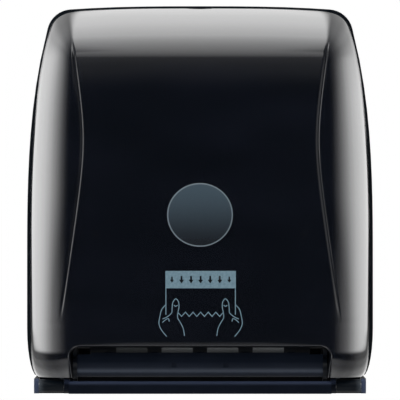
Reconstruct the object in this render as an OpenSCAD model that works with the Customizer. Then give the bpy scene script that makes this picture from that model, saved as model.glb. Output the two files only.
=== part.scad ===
// Hands-free towel dispenser: a smoked cover on a black chassis that hangs on a wall.
// A drum behind the mouth grips the towel, cuts it with a geared rotary knife and hands out the tail.
// Millimetres. X runs to the right seen from the front, Y into the wall and Z up.
// Heights count from the underside of the base and depths from the wall.
// The centre of the four wall screws, on the back face, is the origin.

/* [Housing] */
// Width across the rim of the back plate
overall_w = 332; // [328:1:346]
// Height from the underside of the base to the top of the rim
overall_h = 369; // [364:1:385]
// Depth from the wall to the front of the badge lens
overall_d = 221; // [219:1:232]
// Depth of the rim of the back plate
rim_depth = 18; // [16:1:20]
// Width of rim that shows round the cover
rim_show = 2.2; // [1.8:0.2:3]
// Wall of the cover and of the back plate
shell_t = 3; // [2.6:0.1:3.4]
// Height of the base under the back plate
base_h = 14; // [13.5:0.5:15]
// Radius of the upper corners of the rim
corner_r = 24; // [21:1:27]
// Rise of the arched top edge
top_arch = 3; // [2:0.5:4.5]

/* [Cover] */
// Height of the upper edge of the mouth
mouth_top = 45.6; // [44:0.2:49]
// Radius of the upper corners of the mouth
mouth_r = 9.5; // [6:0.5:12]
// Width of the curved groove on each shoulder
groove_w = 4; // [3:0.5:5]
// Depth of the shoulder grooves
groove_depth = 1.3; // [0.6:0.1:1.5]
// Width of the oval badge lens
badge_w = 62; // [50:1:72]
// Height of the oval badge lens
badge_h = 60; // [48:1:66]
// Height of the middle of the badge lens
badge_z = 169; // [160:1:180]

/* [Cover hinge and lock] */
// Setback of the hinge axis from the front of the badge lens
hinge_setback = 56; // [53:1:59]
// Height of the hinge axis
hinge_z = 7.5; // [7:0.25:7.75]
// Radius of the hinge pins
hinge_pin_r = 2.5; // [2:0.25:3]
// Depth of the lock on the top of the cover
lock_depth = 70; // [66:1:76]
// Radius of the turning plug of the lock
plug_r = 5; // [4:0.25:5.5]

/* [Drum] */
// Radius of the drum shell
drum_r = 42; // [41:0.5:43]
// Room between each end of the drum shell and the side of the rim
side_room = 62; // [61:0.5:65]
// Setback of the drum axis from the front of the badge lens
drum_setback = 81; // [79:1:83]
// Height of the underside of the drum shell
drum_lift = 26; // [25:0.5:28]
// Width of each rubber grip band
band_w = 29.5; // [24:0.5:34]

/* [Knife and gears] */
// How far the knife stands out of the drum at the cut
knife_reach = 5; // [4:0.25:5.5]
// Teeth of the fixed gear and of the knife gear
gear_teeth = 22; // [20:1:24]

/* [Pinch roller] */
// Radius of the pinch roller tyres
pinch_r = 8.5; // [8:0.1:9]

/* [Roll holder] */
// Setback of the roll axis from the front of the badge lens
roll_setback = 110; // [106:1:114]
// Height of the roll axis
roll_z = 252; // [250:1:256]
// Radius of the plug that enters the core of the roll
core_r = 19; // [17:0.5:20]

/* [Wall screws] */
// Spacing of the wall screws across
wall_pitch_x = 200; // [180:1:210]
// Spacing of the wall screws up and down
wall_pitch_z = 180; // [170:1:184]
// Radius of the wall screw holes
wall_hole_r = 2.75; // [2:0.25:3.25]
// Height of the middle of the wall screws
mount_z = 240; // [238:1:242]

/* [Clearances] */
// Radial clearance of a shaft that turns
run_fit = 0.05; // [0.03:0.01:0.08]
// Radial clearance of a piece that is pushed in and stays
push_fit = 0.02; // [0.01:0.01:0.04]
// Gap between the closed cover and the rim
cover_gap = 0.3; // [0.3:0.1:0.6]

/* [Hidden] */
$fn = 64;

// Colours
chassis_black = "#15181d";
smoke = "#0f1219";
inner_black = "#1b1f24";
grip_grey = "#4a4d50";
steel = "#a9adb0";
gear_white = "#c9cac4";
lens_slate = "#34404a";

// Rim outline seen from the front
half_w = overall_w / 2;
belly_z = 120;
foot_z = 60;
shoulder_in = 18.3;
foot_in = 10;
corner_z = overall_h - top_arch - corner_r;
corner_from = 14;
top_half = rim_half(corner_z + corner_r * sin(corner_from)) - corner_r * cos(corner_from);

// Cover skin
rear = rim_depth + cover_gap;
lens_proud = 0.8;
cover_d = overall_d - lens_proud;
cover_top = overall_h - rim_show;
cover_foot = base_h + 1.3;
turn_z = cover_foot + 23.4;
fold_h = 4.7;
fold_slope = 0.3;
foot_curve = 0.0105;
crown_z = cover_top - 50;
widest_z = 190;
belly_sag = 9;
dome_n = 2.3;
crown_lean = 0.15;
plan_crown = 4;
round_x = 36;
round_y = 84;
round_least = 10;
round_loss = 0.68;
side_draft = 4;
turn_rows = [1, 0.82, 0.62, 0.42, 0.2, 0.1];
dome_rows = [4, 10, 20, 32, 45, 58, 70, 80, 86, 90];
body_steps = 16;
row_heights = concat([for (f = turn_rows) turn_z - f * (turn_z - cover_foot)],
    [for (i = [0:body_steps]) turn_z + (crown_z - turn_z) * i / body_steps]);
low_rows = len(row_heights);
rows = low_rows + len(dome_rows);
round_steps = 8;
stations = 8 + round_steps + 3;

// Side frames, mouth and base
drum_len = overall_w - 2 * side_room;
frame_in = drum_len / 2 + 12;
frame_t = 4;
frame_out = frame_in + frame_t;
mouth_half = frame_out + 3;
base_half = half_w - 9;
floor_t = 3;
ear_t = 4.5;
ear_in = mouth_half + 1;
knuckle_in = ear_in + ear_t + 0.4;
knuckle_out = base_half - ear_t - 0.4;
knuckle_r = hinge_z - 1.5;
plate_in = knuckle_in;
plate_out = plate_in + 3.5;
hinge_depth = overall_d - hinge_setback;
hinge_at = [-hinge_depth, hinge_z];
hinge_screw_y = -hinge_depth + 4;
hinge_screw_z = [hinge_z + 22.5, hinge_z + 33.5];
plate_top = hinge_screw_z[1] + 4.5;
mouth_slant = 2.8;

// Lock
lock_y = -lock_depth;
barrel_r = plug_r + 2.5;
flange_r = barrel_r + 3.5;
lock_face = cover_top - 1.6;
flange_z = lock_face - 1.8;
boss_z = cover_top - 9;
barrel_z = cover_top - 22;
hook_z = barrel_z - 3;
hook_reach = 19;
catch_z = hook_z + 5;
catch_y = lock_y + hook_reach - 4;

// Drum, knife and gears: angles count from the wall side, upwards
drum_depth = overall_d - drum_setback;
drum_z = drum_r + drum_lift;
drum_at = [-drum_depth, drum_z];
drum_wall = 3;
band_proud = 0.5;
band_seat = 1.5;
end_t = 6;
stub_r = 5;
bush_r = 8;
rest_angle = 130;
knife_axis = drum_r - 9;
tip_r = drum_r + knife_reach - knife_axis;
knife_shaft_r = 4;
slot_cos = (drum_r * drum_r - knife_axis * knife_axis - tip_r * tip_r) / (2 * knife_axis * tip_r);
slot_half = tip_r * sin(acos(slot_cos)) + 2.5;
slot_len = drum_len - 8;
gear_module = knife_axis / gear_teeth;
pitch_r = knife_axis / 2;
gear_x0 = drum_len / 2 + 4.5;
gear_x1 = gear_x0 + 4.5;
sweep_r = knife_axis + pitch_r + gear_module + 2;
guide_r = drum_r + knife_reach + 3;
guard_r = sweep_r + 1;
band_pitch = drum_len * 0.2067;
band_x = [for (i = [0:3]) (i - 1.5) * band_pitch];
clamp_half = slot_len / 2 - 4;
clamp_x = [for (i = [-2:2]) i * clamp_half * 0.42];

// Pinch roller on its lifting yoke
nip_gap = 0.3;
pinch_at = polar(drum_r + band_proud + nip_gap + pinch_r, 45);
yoke_at = [drum_at[0] + 70, drum_at[1] + 50];
yoke_pin_r = 3;
pinch_shaft_r = 3;
yoke_x0 = drum_len / 2 - 7;
yoke_x1 = yoke_x0 + 5;

// Towel lip below the drum
lip_back = polar(drum_r + 5, 219);
lip_low = [lip_back[0] + 4.5, base_h + 2];
nose_r = 8.5;
nose_at = [lip_back[0] - 8, base_h + 2 + nose_r];
lip_front = nose_at[0] - nose_r;

// Over-centre spring on the left frame
crank_r = 11;
crank_pin_r = 2.5;
post_at = [drum_at[0] + 78, drum_z];
crank_at = [drum_at[0] + crank_r, drum_z];
spring_x = frame_out + 6.9;
spring_r = 4;
wire_r = 0.6;
spring_turns = 14;

// Roll arms
arm_t = 4.5;
arm_x = frame_in - 5.75;
arm_pivot = 14;
arm_half_h = 13;
arm_pin_r = 2;
roll_depth = overall_d - roll_setback;
hub_at = [-roll_depth, roll_z];
hub_x1 = arm_x - arm_t / 2 - 0.5;
hub_x0 = hub_x1 - 15.5;
hub_axle_r = 3;

// Screws
screw_r = 1.5;
head_r = 3;
head_h = 2.2;
frame_screw_x = frame_out + 7;
frame_screw_z = [76, 124];
foot_screw_y = [-44, -112];

function lerp(a, b, f) = a + (b - a) * f;
function smooth(f) = let (c = max(0, min(1, f))) c * c * (3 - 2 * c);
function polar(r, a) = [-drum_depth + r * cos(a), drum_z + r * sin(a)];
function unit(v) = v / norm(v);

// Drop of the arched top at a share of its half width
function arch(f) = top_arch * pow(abs(f), 3);

// Half width of the rim at a height
function rim_half(z) = half_w
    - (z > belly_z ? shoulder_in * pow((z - belly_z) / (corner_z - belly_z), 3) : 0)
    - (z < foot_z ? foot_in * (1 - sqrt(max(0, 1 - pow((foot_z - z) / (foot_z - base_h), 2)))) : 0);

// Right half of the rim outline from the foot to the middle of the top, moved in by an inset
function outline_half(inset) = concat(
    [for (i = [0:21]) let (z = lerp(base_h + inset, corner_z, pow(i / 22, 1.7))) [rim_half(z) - inset, z]],
    [for (a = [corner_from:9:86]) [top_half, corner_z] + (corner_r - inset) * [cos(a), sin(a)]],
    [for (f = [0.85, 0.65, 0.45, 0.25]) [top_half * f, overall_h - inset - arch(f)]]);

function outline(inset) = let (half = outline_half(inset)) concat(half, [[0, overall_h - inset]],
    [for (i = [len(half) - 1:-1:0]) [-half[i][0], half[i][1]]]);

// Cover skin: t moves it in from the outer face, i counts rows upwards and k counts stations outwards
function foot_draw(u) = u < 0 ? 0 : u < fold_h ? fold_slope * u * u / (2 * fold_h)
    : fold_slope * (u - fold_h / 2) + foot_curve * pow(u - fold_h, 2);
function body_depth(z) = cover_d - belly_sag * pow((z - widest_z) / (widest_z - turn_z), 2)
    - foot_draw(turn_z - z);
function dome_phi(i) = dome_rows[i - low_rows];
function dome_up(i) = pow(sin(dome_phi(i)), 2 / dome_n);
function row_z(i, t) = i < low_rows ? row_heights[i] : crown_z + (cover_top - t - crown_z) * dome_up(i);
function row_depth(i, t) = i < low_rows ? body_depth(row_heights[i]) - t
    : rear + (body_depth(crown_z) - t - rear) * pow(cos(dome_phi(i)), 2 / dome_n)
        - crown_lean * (cover_top - t - crown_z) * dome_up(i) * pow(1 - dome_up(i), 2);
function row_drop(i, t) = smooth((row_z(i, t) - crown_z) / (cover_top - t - crown_z));
function rim_gap(z) = rim_show * lerp(0.3, 1, smooth((z - cover_foot) / 40));
function cover_half(i, t) = let (z = row_z(i, t) - top_arch * row_drop(i, t), r = corner_r - rim_show - t)
    z <= corner_z + r * sin(corner_from) ? rim_half(z) - rim_gap(z) - t
    : top_half + sqrt(max(0, r * r - pow(z - corner_z, 2)));
function round_half(i, t) =
    max(round_least, round_x - round_loss * (half_w - rim_show - t - cover_half(i, t))) - t;
function front_half(i, t) = cover_half(i, t) - round_half(i, t) - side_draft;
function groove_x(z) = 111 + sqrt(pow(0.155 * (z - 239.5), 2) + 34.8) - 5.9;
function row_groove(i, t) = min(groove_x(row_z(i, 0)), cover_half(i, t) - 12,
    front_half(i, t) + 6 + 3 * max(0, row_z(i, 0) - 68));
function groove_fade(z) = smooth((z - 68) / 18) * smooth((cover_top - 6 - z) / 20);
function skin_x(i, t, k) =
    let (xg = row_groove(i, t), xf = front_half(i, t), a = round_half(i, t), w = groove_w / 2,
        start = asin(max(0, min(0.9, (xg + w + 2 - xf) / a))))
    k < 4 ? (xg - w - 3) * [0, 0.34, 0.67, 1][k]
    : k < 8 ? xg + [-w - 0.6, 0.6 - w, w - 0.6, w + 0.6][k - 4]
    : k < 8 + round_steps ? xf + a * sin(lerp(start, 90, (k - 8) / (round_steps - 1)))
    : lerp(xf + a, cover_half(i, t), (k - 7 - round_steps) / 3);
function skin_y(i, t, x) =
    let (d = row_depth(i, t), xf = front_half(i, t), a = round_half(i, t),
        c = min(plan_crown, 0.08 * (d - rear)), b = min(round_y * (a + t) / round_x - t, 0.7 * (d - rear)),
        turn = x > xf ? asin(min(1, (x - xf) / a)) : 0)
    -(d - c * pow(x / xf, 2) - b * (1 - cos(turn)));
function skin_point(i, t, j) =
    let (k = abs(j), x = skin_x(i, t, k), xe = front_half(i, t) + round_half(i, t),
        cut = t == 0 && (k == 5 || k == 6) ? groove_depth * groove_fade(row_z(i, 0)) : 0,
        y = k < 8 + round_steps ? skin_y(i, t, x) + cut
            : lerp(skin_y(i, t, xe), -rear, (k - 7 - round_steps) / 3))
    [sign(j) * x, y, row_z(i, t) - arch(x / top_half) * row_drop(i, t)];
function skin(t) = [for (i = [0:rows - 1]) for (j = [1 - stations:stations - 1]) skin_point(i, t, j)];

// Involute gear outline with a tooth at an angle
function inv_deg(a) = tan(a) * 180 / PI - a;
function flank(r, base_r) = 90 / gear_teeth - 0.45 + inv_deg(20)
    - inv_deg(acos(min(1, base_r / max(r, base_r))));
function gear_points(first) =
    let (base_r = pitch_r * cos(20), root_r = pitch_r - 1.25 * gear_module, tip = pitch_r + gear_module,
        radii = concat([root_r], [for (f = [0:0.25:1]) lerp(base_r, tip, f)]))
    [for (n = [0:gear_teeth - 1]) let (mid = first + n * 360 / gear_teeth)
        for (e = [0:2 * len(radii) - 1])
        let (r = radii[e < len(radii) ? e : 2 * len(radii) - 1 - e],
            a = mid + (e < len(radii) ? -1 : 1) * flank(r, base_r))
        r * [cos(a), sin(a)]];

// Spring path: each entry holds a point of the wire's middle and a direction across the wire
function loop_entry(at, a) = let (n = [0, cos(a), sin(a)]) [[-spring_x, at[0], at[1]] + 4.2 * n, n];
function coil_entry(f) = let (a = 360 * spring_turns * f, n = [sin(a), 0, -cos(a)],
    y = lerp(crank_at[0] + 11, post_at[0] - 11, f)) [[-spring_x, y, drum_z] + spring_r * n, n];
function spring_path() = concat([for (a = [30:25:330]) loop_entry(crank_at, a)],
    [for (i = [0:8 * spring_turns]) coil_entry(i / (8 * spring_turns))],
    [for (a = [210:25:510]) loop_entry(post_at, a)]);

// Everything is drawn from the underside of the base and moved to the wall screws here
module in_frame() translate([0, 0, -mount_z]) children();
// A front-view outline made solid between two depths
module slab(d0, d1) translate([0, -d0, 0]) rotate([90, 0, 0]) linear_extrude(d1 - d0) children();
// A side-view outline made solid between two distances from the middle
module across(x0, x1) translate([x0, 0, 0]) rotate([90, 0, 90]) linear_extrude(x1 - x0) children();
module axle(x0, x1, at, r) translate([x0, at[0], at[1]]) rotate([0, 90, 0]) cylinder(h = x1 - x0, r = r);
module stud(x, z, d0, d1, r) translate([x, -d0, z]) rotate([90, 0, 0]) cylinder(h = d1 - d0, r = r);
module post(x, y, z0, z1, r) translate([x, y, z0]) cylinder(h = z1 - z0, r = r);
module on_side(s) mirror([s < 0 ? 1 : 0, 0, 0]) children();
module in_drum() translate([0, drum_at[0], drum_at[1]]) rotate([rest_angle, 0, 0]) children();
module in_knife() in_drum() translate([0, knife_axis, 0]) rotate([180, 0, 0]) children();

// Screws with the head towards the front, the middle or the floor
module screw_in_wall(x, z, d) {
    stud(x, z, d, d + head_h, head_r);
    stud(x, z, d - 7, d, screw_r);
}
module screw_up(x, y) {
    post(x, y, 0, 1.6, head_r);
    post(x, y, 1.6, floor_t + 6, screw_r);
}

module outline_ring(outer, inner) {
    difference() {
        polygon(outline(outer));
        polygon(outline(inner));
    }
}

module back_plate() {
    color(chassis_black) in_frame() difference() {
        union() {
            slab(0, shell_t) polygon(outline(0));
            slab(0, rim_depth) outline_ring(0, shell_t);
            slab(rim_depth - 4, rim_depth) outline_ring(0, rim_show + shell_t + 1.5);
            for (x = [-72, -36, 36, 72])
                slab(shell_t - 0.5, shell_t + 3) translate([x - 1, 156]) square([2, 160]);
            for (z = [156, 236, 314])
                slab(shell_t - 0.5, shell_t + 3) translate([-73, z]) square([146, 2]);
            for (x = [-1, 1]) for (z = [-1, 1])
                stud(x * wall_pitch_x / 2, mount_z + z * wall_pitch_z / 2, 1, shell_t + 2, 9);
            for (x = [-1, 1]) for (z = frame_screw_z)
                stud(x * frame_screw_x, z, 1, shell_t + 5, 5);
        }
        for (x = [-1, 1]) for (z = [-1, 1])
            stud(x * wall_pitch_x / 2, mount_z + z * wall_pitch_z / 2, -1, shell_t + 5, wall_hole_r);
        for (x = [-1, 1]) for (z = frame_screw_z)
            stud(x * frame_screw_x, z, 1.5, shell_t + 6, screw_r + 0.1);
        for (x = [-1, 1]) for (z = [-1, 1])
            stud(x * arm_x, roll_z + z * (arm_half_h + 9), 1, shell_t + 1, screw_r + 0.1);
        for (x = [-7, 7])
            stud(x, catch_z - 12, 1, shell_t + 1, screw_r + 0.1);
    }
}

module ear_outline() {
    translate(hinge_at) circle(hinge_z - 1);
    translate([-hinge_depth, 0]) square([18, 2 * hinge_z - 1]);
}

module base_tray() {
    step = hinge_depth - 9;
    front = lip_front + 3;
    color(chassis_black) in_frame() difference() {
        union() {
            translate([-base_half, -step, 0]) cube([2 * base_half, step, floor_t]);
            across(-ear_in, ear_in) polygon(concat([[-step + 1, floor_t], [-step + 1, 0], [front, 0]],
                [for (a = [180:-15:90]) [front + 2.5 + 2.5 * cos(a), 9.5 + 2.5 * sin(a)]],
                [[front + 3, 12], [front + 3, floor_t]]));
            translate([-base_half, -shell_t, 0]) cube([2 * base_half, shell_t, base_h]);
            for (s = [-1, 1]) on_side(s) {
                translate([base_half - 3, -step, 0]) cube([3, step, base_h]);
                across(ear_in - 0.5, ear_in + ear_t) ear_outline();
                across(base_half - ear_t, base_half) ear_outline();
            }
        }
        axle(-base_half - 1, base_half + 1, hinge_at, hinge_pin_r + push_fit);
        for (s = [-1, 1]) for (y = foot_screw_y) {
            post(s * frame_screw_x, y, -1, 1.6, head_r + 0.4);
            post(s * frame_screw_x, y, 0, floor_t + 1, screw_r + 0.2);
        }
    }
}

module frame_outline() {
    difference() {
        union() {
            translate(drum_at) circle(sweep_r + 3);
            translate([drum_at[0], base_h + 8]) square([drum_depth - shell_t - 5, drum_z + 64 - base_h]);
            translate([lip_front + 12.5, floor_t])
                square([-lip_front - rim_depth - 13.5, drum_z - floor_t]);
            translate(nose_at) circle(nose_r + 2);
            translate([nose_at[0], nose_at[1] - nose_r - 2]) square([40, 2 * nose_r + 4]);
        }
        translate(drum_at) circle(bush_r + push_fit);
        translate(yoke_at) circle(yoke_pin_r + run_fit);
        translate([-34, 100]) circle(13);
        translate([-34, 58]) circle(13);
    }
}

module side_frame() {
    difference() {
        union() {
            across(frame_in, frame_out) frame_outline();
            translate([frame_out - 1, -shell_t - 8.5, 62]) cube([14, 3.5, 76]);
            translate([frame_out - 1, -128, floor_t]) cube([14, 100, 3]);
        }
        for (z = frame_screw_z)
            stud(frame_screw_x, z, shell_t, shell_t + 10, screw_r + 0.2);
        for (y = foot_screw_y)
            post(frame_screw_x, y, floor_t - 1, floor_t + 7, screw_r + 0.1);
    }
}

module side_frame_left() {
    color(inner_black) in_frame() {
        on_side(-1) side_frame();
        axle(-frame_out - 11, -frame_out + 0.5, post_at, crank_pin_r);
    }
}

module side_frame_right() {
    color(inner_black) in_frame() side_frame();
}

module delivery_lip() {
    color(inner_black) in_frame() difference() {
        across(-frame_in, frame_in) hull() {
            translate(nose_at) circle(nose_r, $fn = 48);
            polygon([lip_low, lip_back, lip_back + [-5, 0.5]]);
        }
        for (s = [-1, 1]) on_side(s) {
            axle(drum_len / 2 - 1, frame_in + 1, drum_at, sweep_r);
            translate([24.5 - 2.4, lip_front - 1, nose_at[1] + 0.3]) cube([4.8, 4, 4]);
        }
    }
}

module stripper_comb() {
    along = unit(lip_back - lip_low);
    side = 1.4 * [along[1], -along[0]];
    foot = lip_back + 0.015 * side;
    color(inner_black) in_frame() {
        across(-drum_len / 2 + 6, drum_len / 2 - 6) polygon([foot - 14 * along, foot, lip_back + side,
            lip_back - 14 * along + side]);
        for (i = [-2:2]) across(i * band_pitch - 3, i * band_pitch + 3)
            polygon([foot - along, foot + 1.5 * along, lip_back + 1.5 * along + 0.85 * side,
                lip_back - along + side]);
    }
}

// Sector of a ring round the drum axis, in side view
module arc_sheet(r0, r1, a0, a1) {
    polygon(concat([for (f = [0:0.05:1]) polar(r0, lerp(a0, a1, f))],
        [for (f = [1:-0.05:0]) polar(r1, lerp(a0, a1, f))]));
}

module rear_guide() {
    bars = [-22, -80];
    color(inner_black) in_frame() {
        across(-drum_len / 2 + 1, drum_len / 2 - 1) {
            arc_sheet(guide_r, guide_r + 2, -104, 12);
            for (a = bars) arc_sheet(guide_r + 1, sweep_r + 2, a - 4, a + 4);
        }
        for (a = bars)
            across(-frame_in, frame_in) arc_sheet(sweep_r + 0.5, sweep_r + 6, a - 4.5, a + 4.5);
    }
}

module front_guard() {
    color(inner_black) in_frame() {
        across(-frame_in, frame_in) arc_sheet(guard_r, guard_r + 2, 74, 188);
        for (x = [-band_pitch, 0, band_pitch])
            across(x - 1, x + 1) arc_sheet(guard_r + 1.5, guard_r + 5, 76, 186);
    }
}

module drum_bush() {
    difference() {
        axle(frame_in - 0.6, frame_out + 1, drum_at, bush_r);
        axle(frame_in - 2, frame_out + 2, drum_at, stub_r + run_fit);
    }
}

module drum_bush_left() {
    color(gear_white) in_frame() on_side(-1) drum_bush();
}

module drum_bush_right() {
    color(gear_white) in_frame() drum_bush();
}

module sun_gear() {
    color(gear_white) in_frame() in_drum() difference() {
        union() {
            across(gear_x0, gear_x1 + 1) polygon(gear_points(0));
            across(gear_x1 + 0.5, frame_in) circle(pitch_r + 3);
        }
        across(gear_x0 - 1, frame_in + 1) circle(bush_r + 1);
    }
}

module spring_outline(grow) {
    hull() {
        translate(drum_at) circle(19.5 + grow, $fn = 48);
        translate(post_at) circle(8.5 + grow, $fn = 48);
    }
}

module spring_cover() {
    color(inner_black) in_frame() on_side(-1) difference() {
        across(frame_out, frame_out + 14) spring_outline(2);
        across(frame_out - 1, frame_out + 12) spring_outline(0);
    }
}

module wire_tube(path, r) {
    count = len(path);
    rings = [for (i = [0:count - 1])
        let (t = unit(path[min(i + 1, count - 1)][0] - path[max(i - 1, 0)][0]),
            n = unit(path[i][1] - t * (path[i][1] * t)), b = cross(t, n))
        for (a = [0:60:300]) path[i][0] + r * (cos(a) * n + sin(a) * b)];
    walls = [for (i = [0:count - 2]) for (a = [0:5]) let (e = (a + 1) % 6)
        for (tri = [[i * 6 + a, i * 6 + e, i * 6 + 6 + a], [i * 6 + e, i * 6 + 6 + e, i * 6 + 6 + a]]) tri];
    polyhedron(rings, concat(walls, [[5, 4, 3, 2, 1, 0]], [[for (a = [0:5]) count * 6 - 6 + a]]));
}

module return_spring() {
    path = spring_path();
    gap = min([for (i = [0:4:len(path) - 1]) for (j = [i + 7:len(path) - 1])
        norm(path[i][0] - path[j][0])]) - 2 * wire_r;
    echo(spring_gap = gap);
    color(steel) in_frame() wire_tube(path, wire_r);
}

module arm_bracket() {
    low = roll_z - arm_half_h - 0.4;
    difference() {
        union() {
            translate([arm_x - 9, -shell_t - 3, low - 14]) cube([18, 3, 2 * arm_half_h + 28.8]);
            for (z = [low - 4, roll_z + arm_half_h + 0.4]) {
                translate([arm_x - 7, -arm_pivot, z]) cube([14, arm_pivot - shell_t - 1, 4]);
                post(arm_x, -arm_pivot, z, z + 4, 7);
            }
        }
        post(arm_x, -arm_pivot, low - 20, roll_z + 40, arm_pin_r + push_fit);
        for (z = [-1, 1]) stud(arm_x, roll_z + z * (arm_half_h + 9), 0, 20, screw_r + 0.2);
    }
}

module arm_bracket_left() {
    color(chassis_black) in_frame() on_side(-1) arm_bracket();
}

module arm_bracket_right() {
    color(chassis_black) in_frame() arm_bracket();
}

module arm_pins() {
    color(steel) in_frame() for (s = [-1, 1]) on_side(s)
        post(arm_x, -arm_pivot, roll_z - arm_half_h - 6, roll_z + arm_half_h + 6, arm_pin_r);
}

module hinge_pins() {
    color(steel) in_frame() for (s = [-1, 1]) on_side(s)
        axle(ear_in, base_half - 0.5, hinge_at, hinge_pin_r);
}

module catch_bracket() {
    color(chassis_black) in_frame() difference() {
        union() {
            translate([-12, catch_y - 4, catch_z]) cube([24, -shell_t - catch_y + 4, 3]);
            translate([-12, -shell_t - 3, catch_z - 20]) cube([24, 3, 23]);
            for (x = [-12, 10]) across(x, x + 2)
                polygon([for (p = [[1, 1], [30, 1], [1, -18]]) [-shell_t - p[0], catch_z + p[1]]]);
            post(0, catch_y, hook_z - 3, catch_z + 1, 2.5);
        }
        for (x = [-7, 7]) stud(x, catch_z - 12, 0, 12, screw_r + 0.2);
    }
}

module frame_screws() {
    color(steel) in_frame() {
        for (s = [-1, 1]) {
            for (z = frame_screw_z) screw_in_wall(s * frame_screw_x, z, shell_t + 8.5);
            for (z = [-1, 1]) {
                stud(s * arm_x, roll_z + z * (arm_half_h + 9), shell_t + 3, shell_t + 5.2, head_r);
                stud(s * arm_x, roll_z + z * (arm_half_h + 9), 1.2, shell_t + 3, screw_r);
            }
            for (y = foot_screw_y) screw_up(s * frame_screw_x, y);
        }
        for (x = [-7, 7]) {
            stud(x, catch_z - 12, shell_t + 3, shell_t + 5.2, head_r);
            stud(x, catch_z - 12, 1.2, shell_t + 3, screw_r);
        }
    }
}

// Closed skin between the outer and the inner face of the cover
module cover_skin() {
    n = 2 * stations - 1;
    all = rows * n;
    quads = function(i, j, base, flip) let (a = base + i * n + j, b = a + 1, c = b + n, d = a + n)
        flip ? [[a, c, b], [a, d, c]] : [[a, b, c], [a, c, d]];
    outer = [for (i = [0:rows - 2]) for (j = [0:n - 2]) each quads(i, j, 0, true)];
    inner = [for (i = [0:rows - 2]) for (j = [0:n - 2]) each quads(i, j, all, false)];
    foot = [for (j = [0:n - 2]) each [[j, j + 1, all + j + 1], [j, all + j + 1, all + j]]];
    top = [for (j = [0:n - 2]) let (a = (rows - 1) * n + j)
        each [[a, all + a + 1, a + 1], [a, all + a, all + a + 1]]];
    left = [for (i = [0:rows - 2]) let (a = i * n)
        each [[a, all + a, all + a + n], [a, all + a + n, a + n]]];
    right = [for (i = [0:rows - 2]) let (a = i * n + n - 1)
        each [[a, all + a + n, all + a], [a, a + n, all + a + n]]];
    polyhedron(concat(skin(0), skin(shell_t)), concat(outer, inner, foot, top, left, right));
}

// Space inside the outer face of the cover
module cover_block() {
    n = 2 * stations - 1;
    outer = [for (i = [0:rows - 2]) for (j = [0:n - 2]) let (a = i * n + j)
        each [[a, a + n + 1, a + 1], [a, a + n, a + n + 1]]];
    foot = [for (j = [0:n - 1]) j];
    back = concat([for (i = [0:rows - 1]) i * n], [for (j = [1:n - 1]) (rows - 1) * n + j],
        [for (i = [rows - 2:-1:0]) i * n + n - 1]);
    polyhedron(skin(0), concat(outer, [foot, [for (i = [len(back) - 1:-1:0]) back[i]]]));
}

module mouth_outline(grow) {
    half = mouth_half + grow;
    top = mouth_top + grow;
    arc = [for (a = [0:15:90]) [half - mouth_r + mouth_r * cos(a), top - mouth_r + mouth_r * sin(a)]];
    polygon(concat([[mouth_slant - half, cover_foot - 4], [half - mouth_slant, cover_foot - 4]], arc,
        [for (i = [len(arc) - 1:-1:0]) [-arc[i][0], arc[i][1]]]));
}

module badge_outline(grow) {
    polygon([for (a = [0:6:354]) [(badge_w / 2 + grow) * cos(a), badge_z + (badge_h / 2 + grow) * sin(a)]]);
}

module front_cover() {
    color(smoke) in_frame() difference() {
        union() {
            cover_skin();
            intersection() {
                cover_block();
                union() {
                    slab(body_depth(turn_z) - 14, overall_d + 5) mouth_outline(2);
                    post(0, lock_y, boss_z, cover_top + 1, flange_r + 2.5);
                    for (s = [-1, 1]) on_side(s)
                        translate([plate_out, hinge_screw_y - 7, hinge_screw_z[0] - 5])
                            cube([30, 14, plate_top - hinge_screw_z[0] + 5]);
                }
            }
        }
        slab(hinge_depth - 25, overall_d + 20) mouth_outline(0);
        slab(cover_d - 1.3, overall_d + 20) badge_outline(0.15);
        post(0, lock_y, flange_z, cover_top + 10, flange_r + 0.2);
        post(0, lock_y, barrel_z, cover_top + 10, barrel_r + 0.2);
        for (s = [-1, 1]) on_side(s) for (z = hinge_screw_z)
            axle(plate_out - 1, plate_out + 6.5, [hinge_screw_y, z], screw_r + 0.2, $fn = 24);
    }
}

module hinge_bracket() {
    difference() {
        union() {
            axle(knuckle_in, knuckle_out, hinge_at, knuckle_r);
            across(plate_in, plate_out)
                translate([hinge_screw_y - 6, hinge_z]) square([12, plate_top - hinge_z]);
        }
        axle(knuckle_in - 1, knuckle_out + 1, hinge_at, hinge_pin_r + run_fit);
        for (z = hinge_screw_z) axle(plate_in - 1, plate_out + 1, [hinge_screw_y, z], screw_r + 0.2);
    }
}

module hinge_bracket_left() {
    color(chassis_black) in_frame() on_side(-1) hinge_bracket();
}

module hinge_bracket_right() {
    color(chassis_black) in_frame() hinge_bracket();
}

module hinge_screws() {
    color(steel) in_frame() for (s = [-1, 1]) on_side(s) for (z = hinge_screw_z) {
        axle(plate_in - head_h, plate_in, [hinge_screw_y, z], head_r);
        axle(plate_in, plate_out + 6, [hinge_screw_y, z], screw_r);
    }
}

// Domed oval: rings of points shrink from the flat back to the middle of the dome
module badge_lens() {
    steps = 60;
    shrink = [1, 1, 0.9, 0.72, 0.48, 0.24];
    rise = [0, 0.7, 1.2, 1.6, 1.9, 2.05];
    back = cover_d - 1.3;
    points = [for (r = [0:5]) for (a = [0:steps - 1]) let (t = a * 360 / steps)
        [shrink[r] * badge_w / 2 * cos(t), -back - rise[r] * (overall_d - back) / 2.1,
            badge_z + shrink[r] * badge_h / 2 * sin(t)]];
    sides = [for (r = [0:4]) for (a = [0:steps - 1]) let (p = r * steps + a, q = r * steps + (a + 1) % steps)
        each [[p, q + steps, q], [p, p + steps, q + steps]]];
    cap = [for (a = [0:steps - 1]) [5 * steps + a, 6 * steps, 5 * steps + (a + 1) % steps]];
    color(lens_slate) in_frame() polyhedron(concat(points, [[0, -overall_d, badge_z]]),
        concat(sides, cap, [[for (a = [0:steps - 1]) a]]));
}

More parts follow.
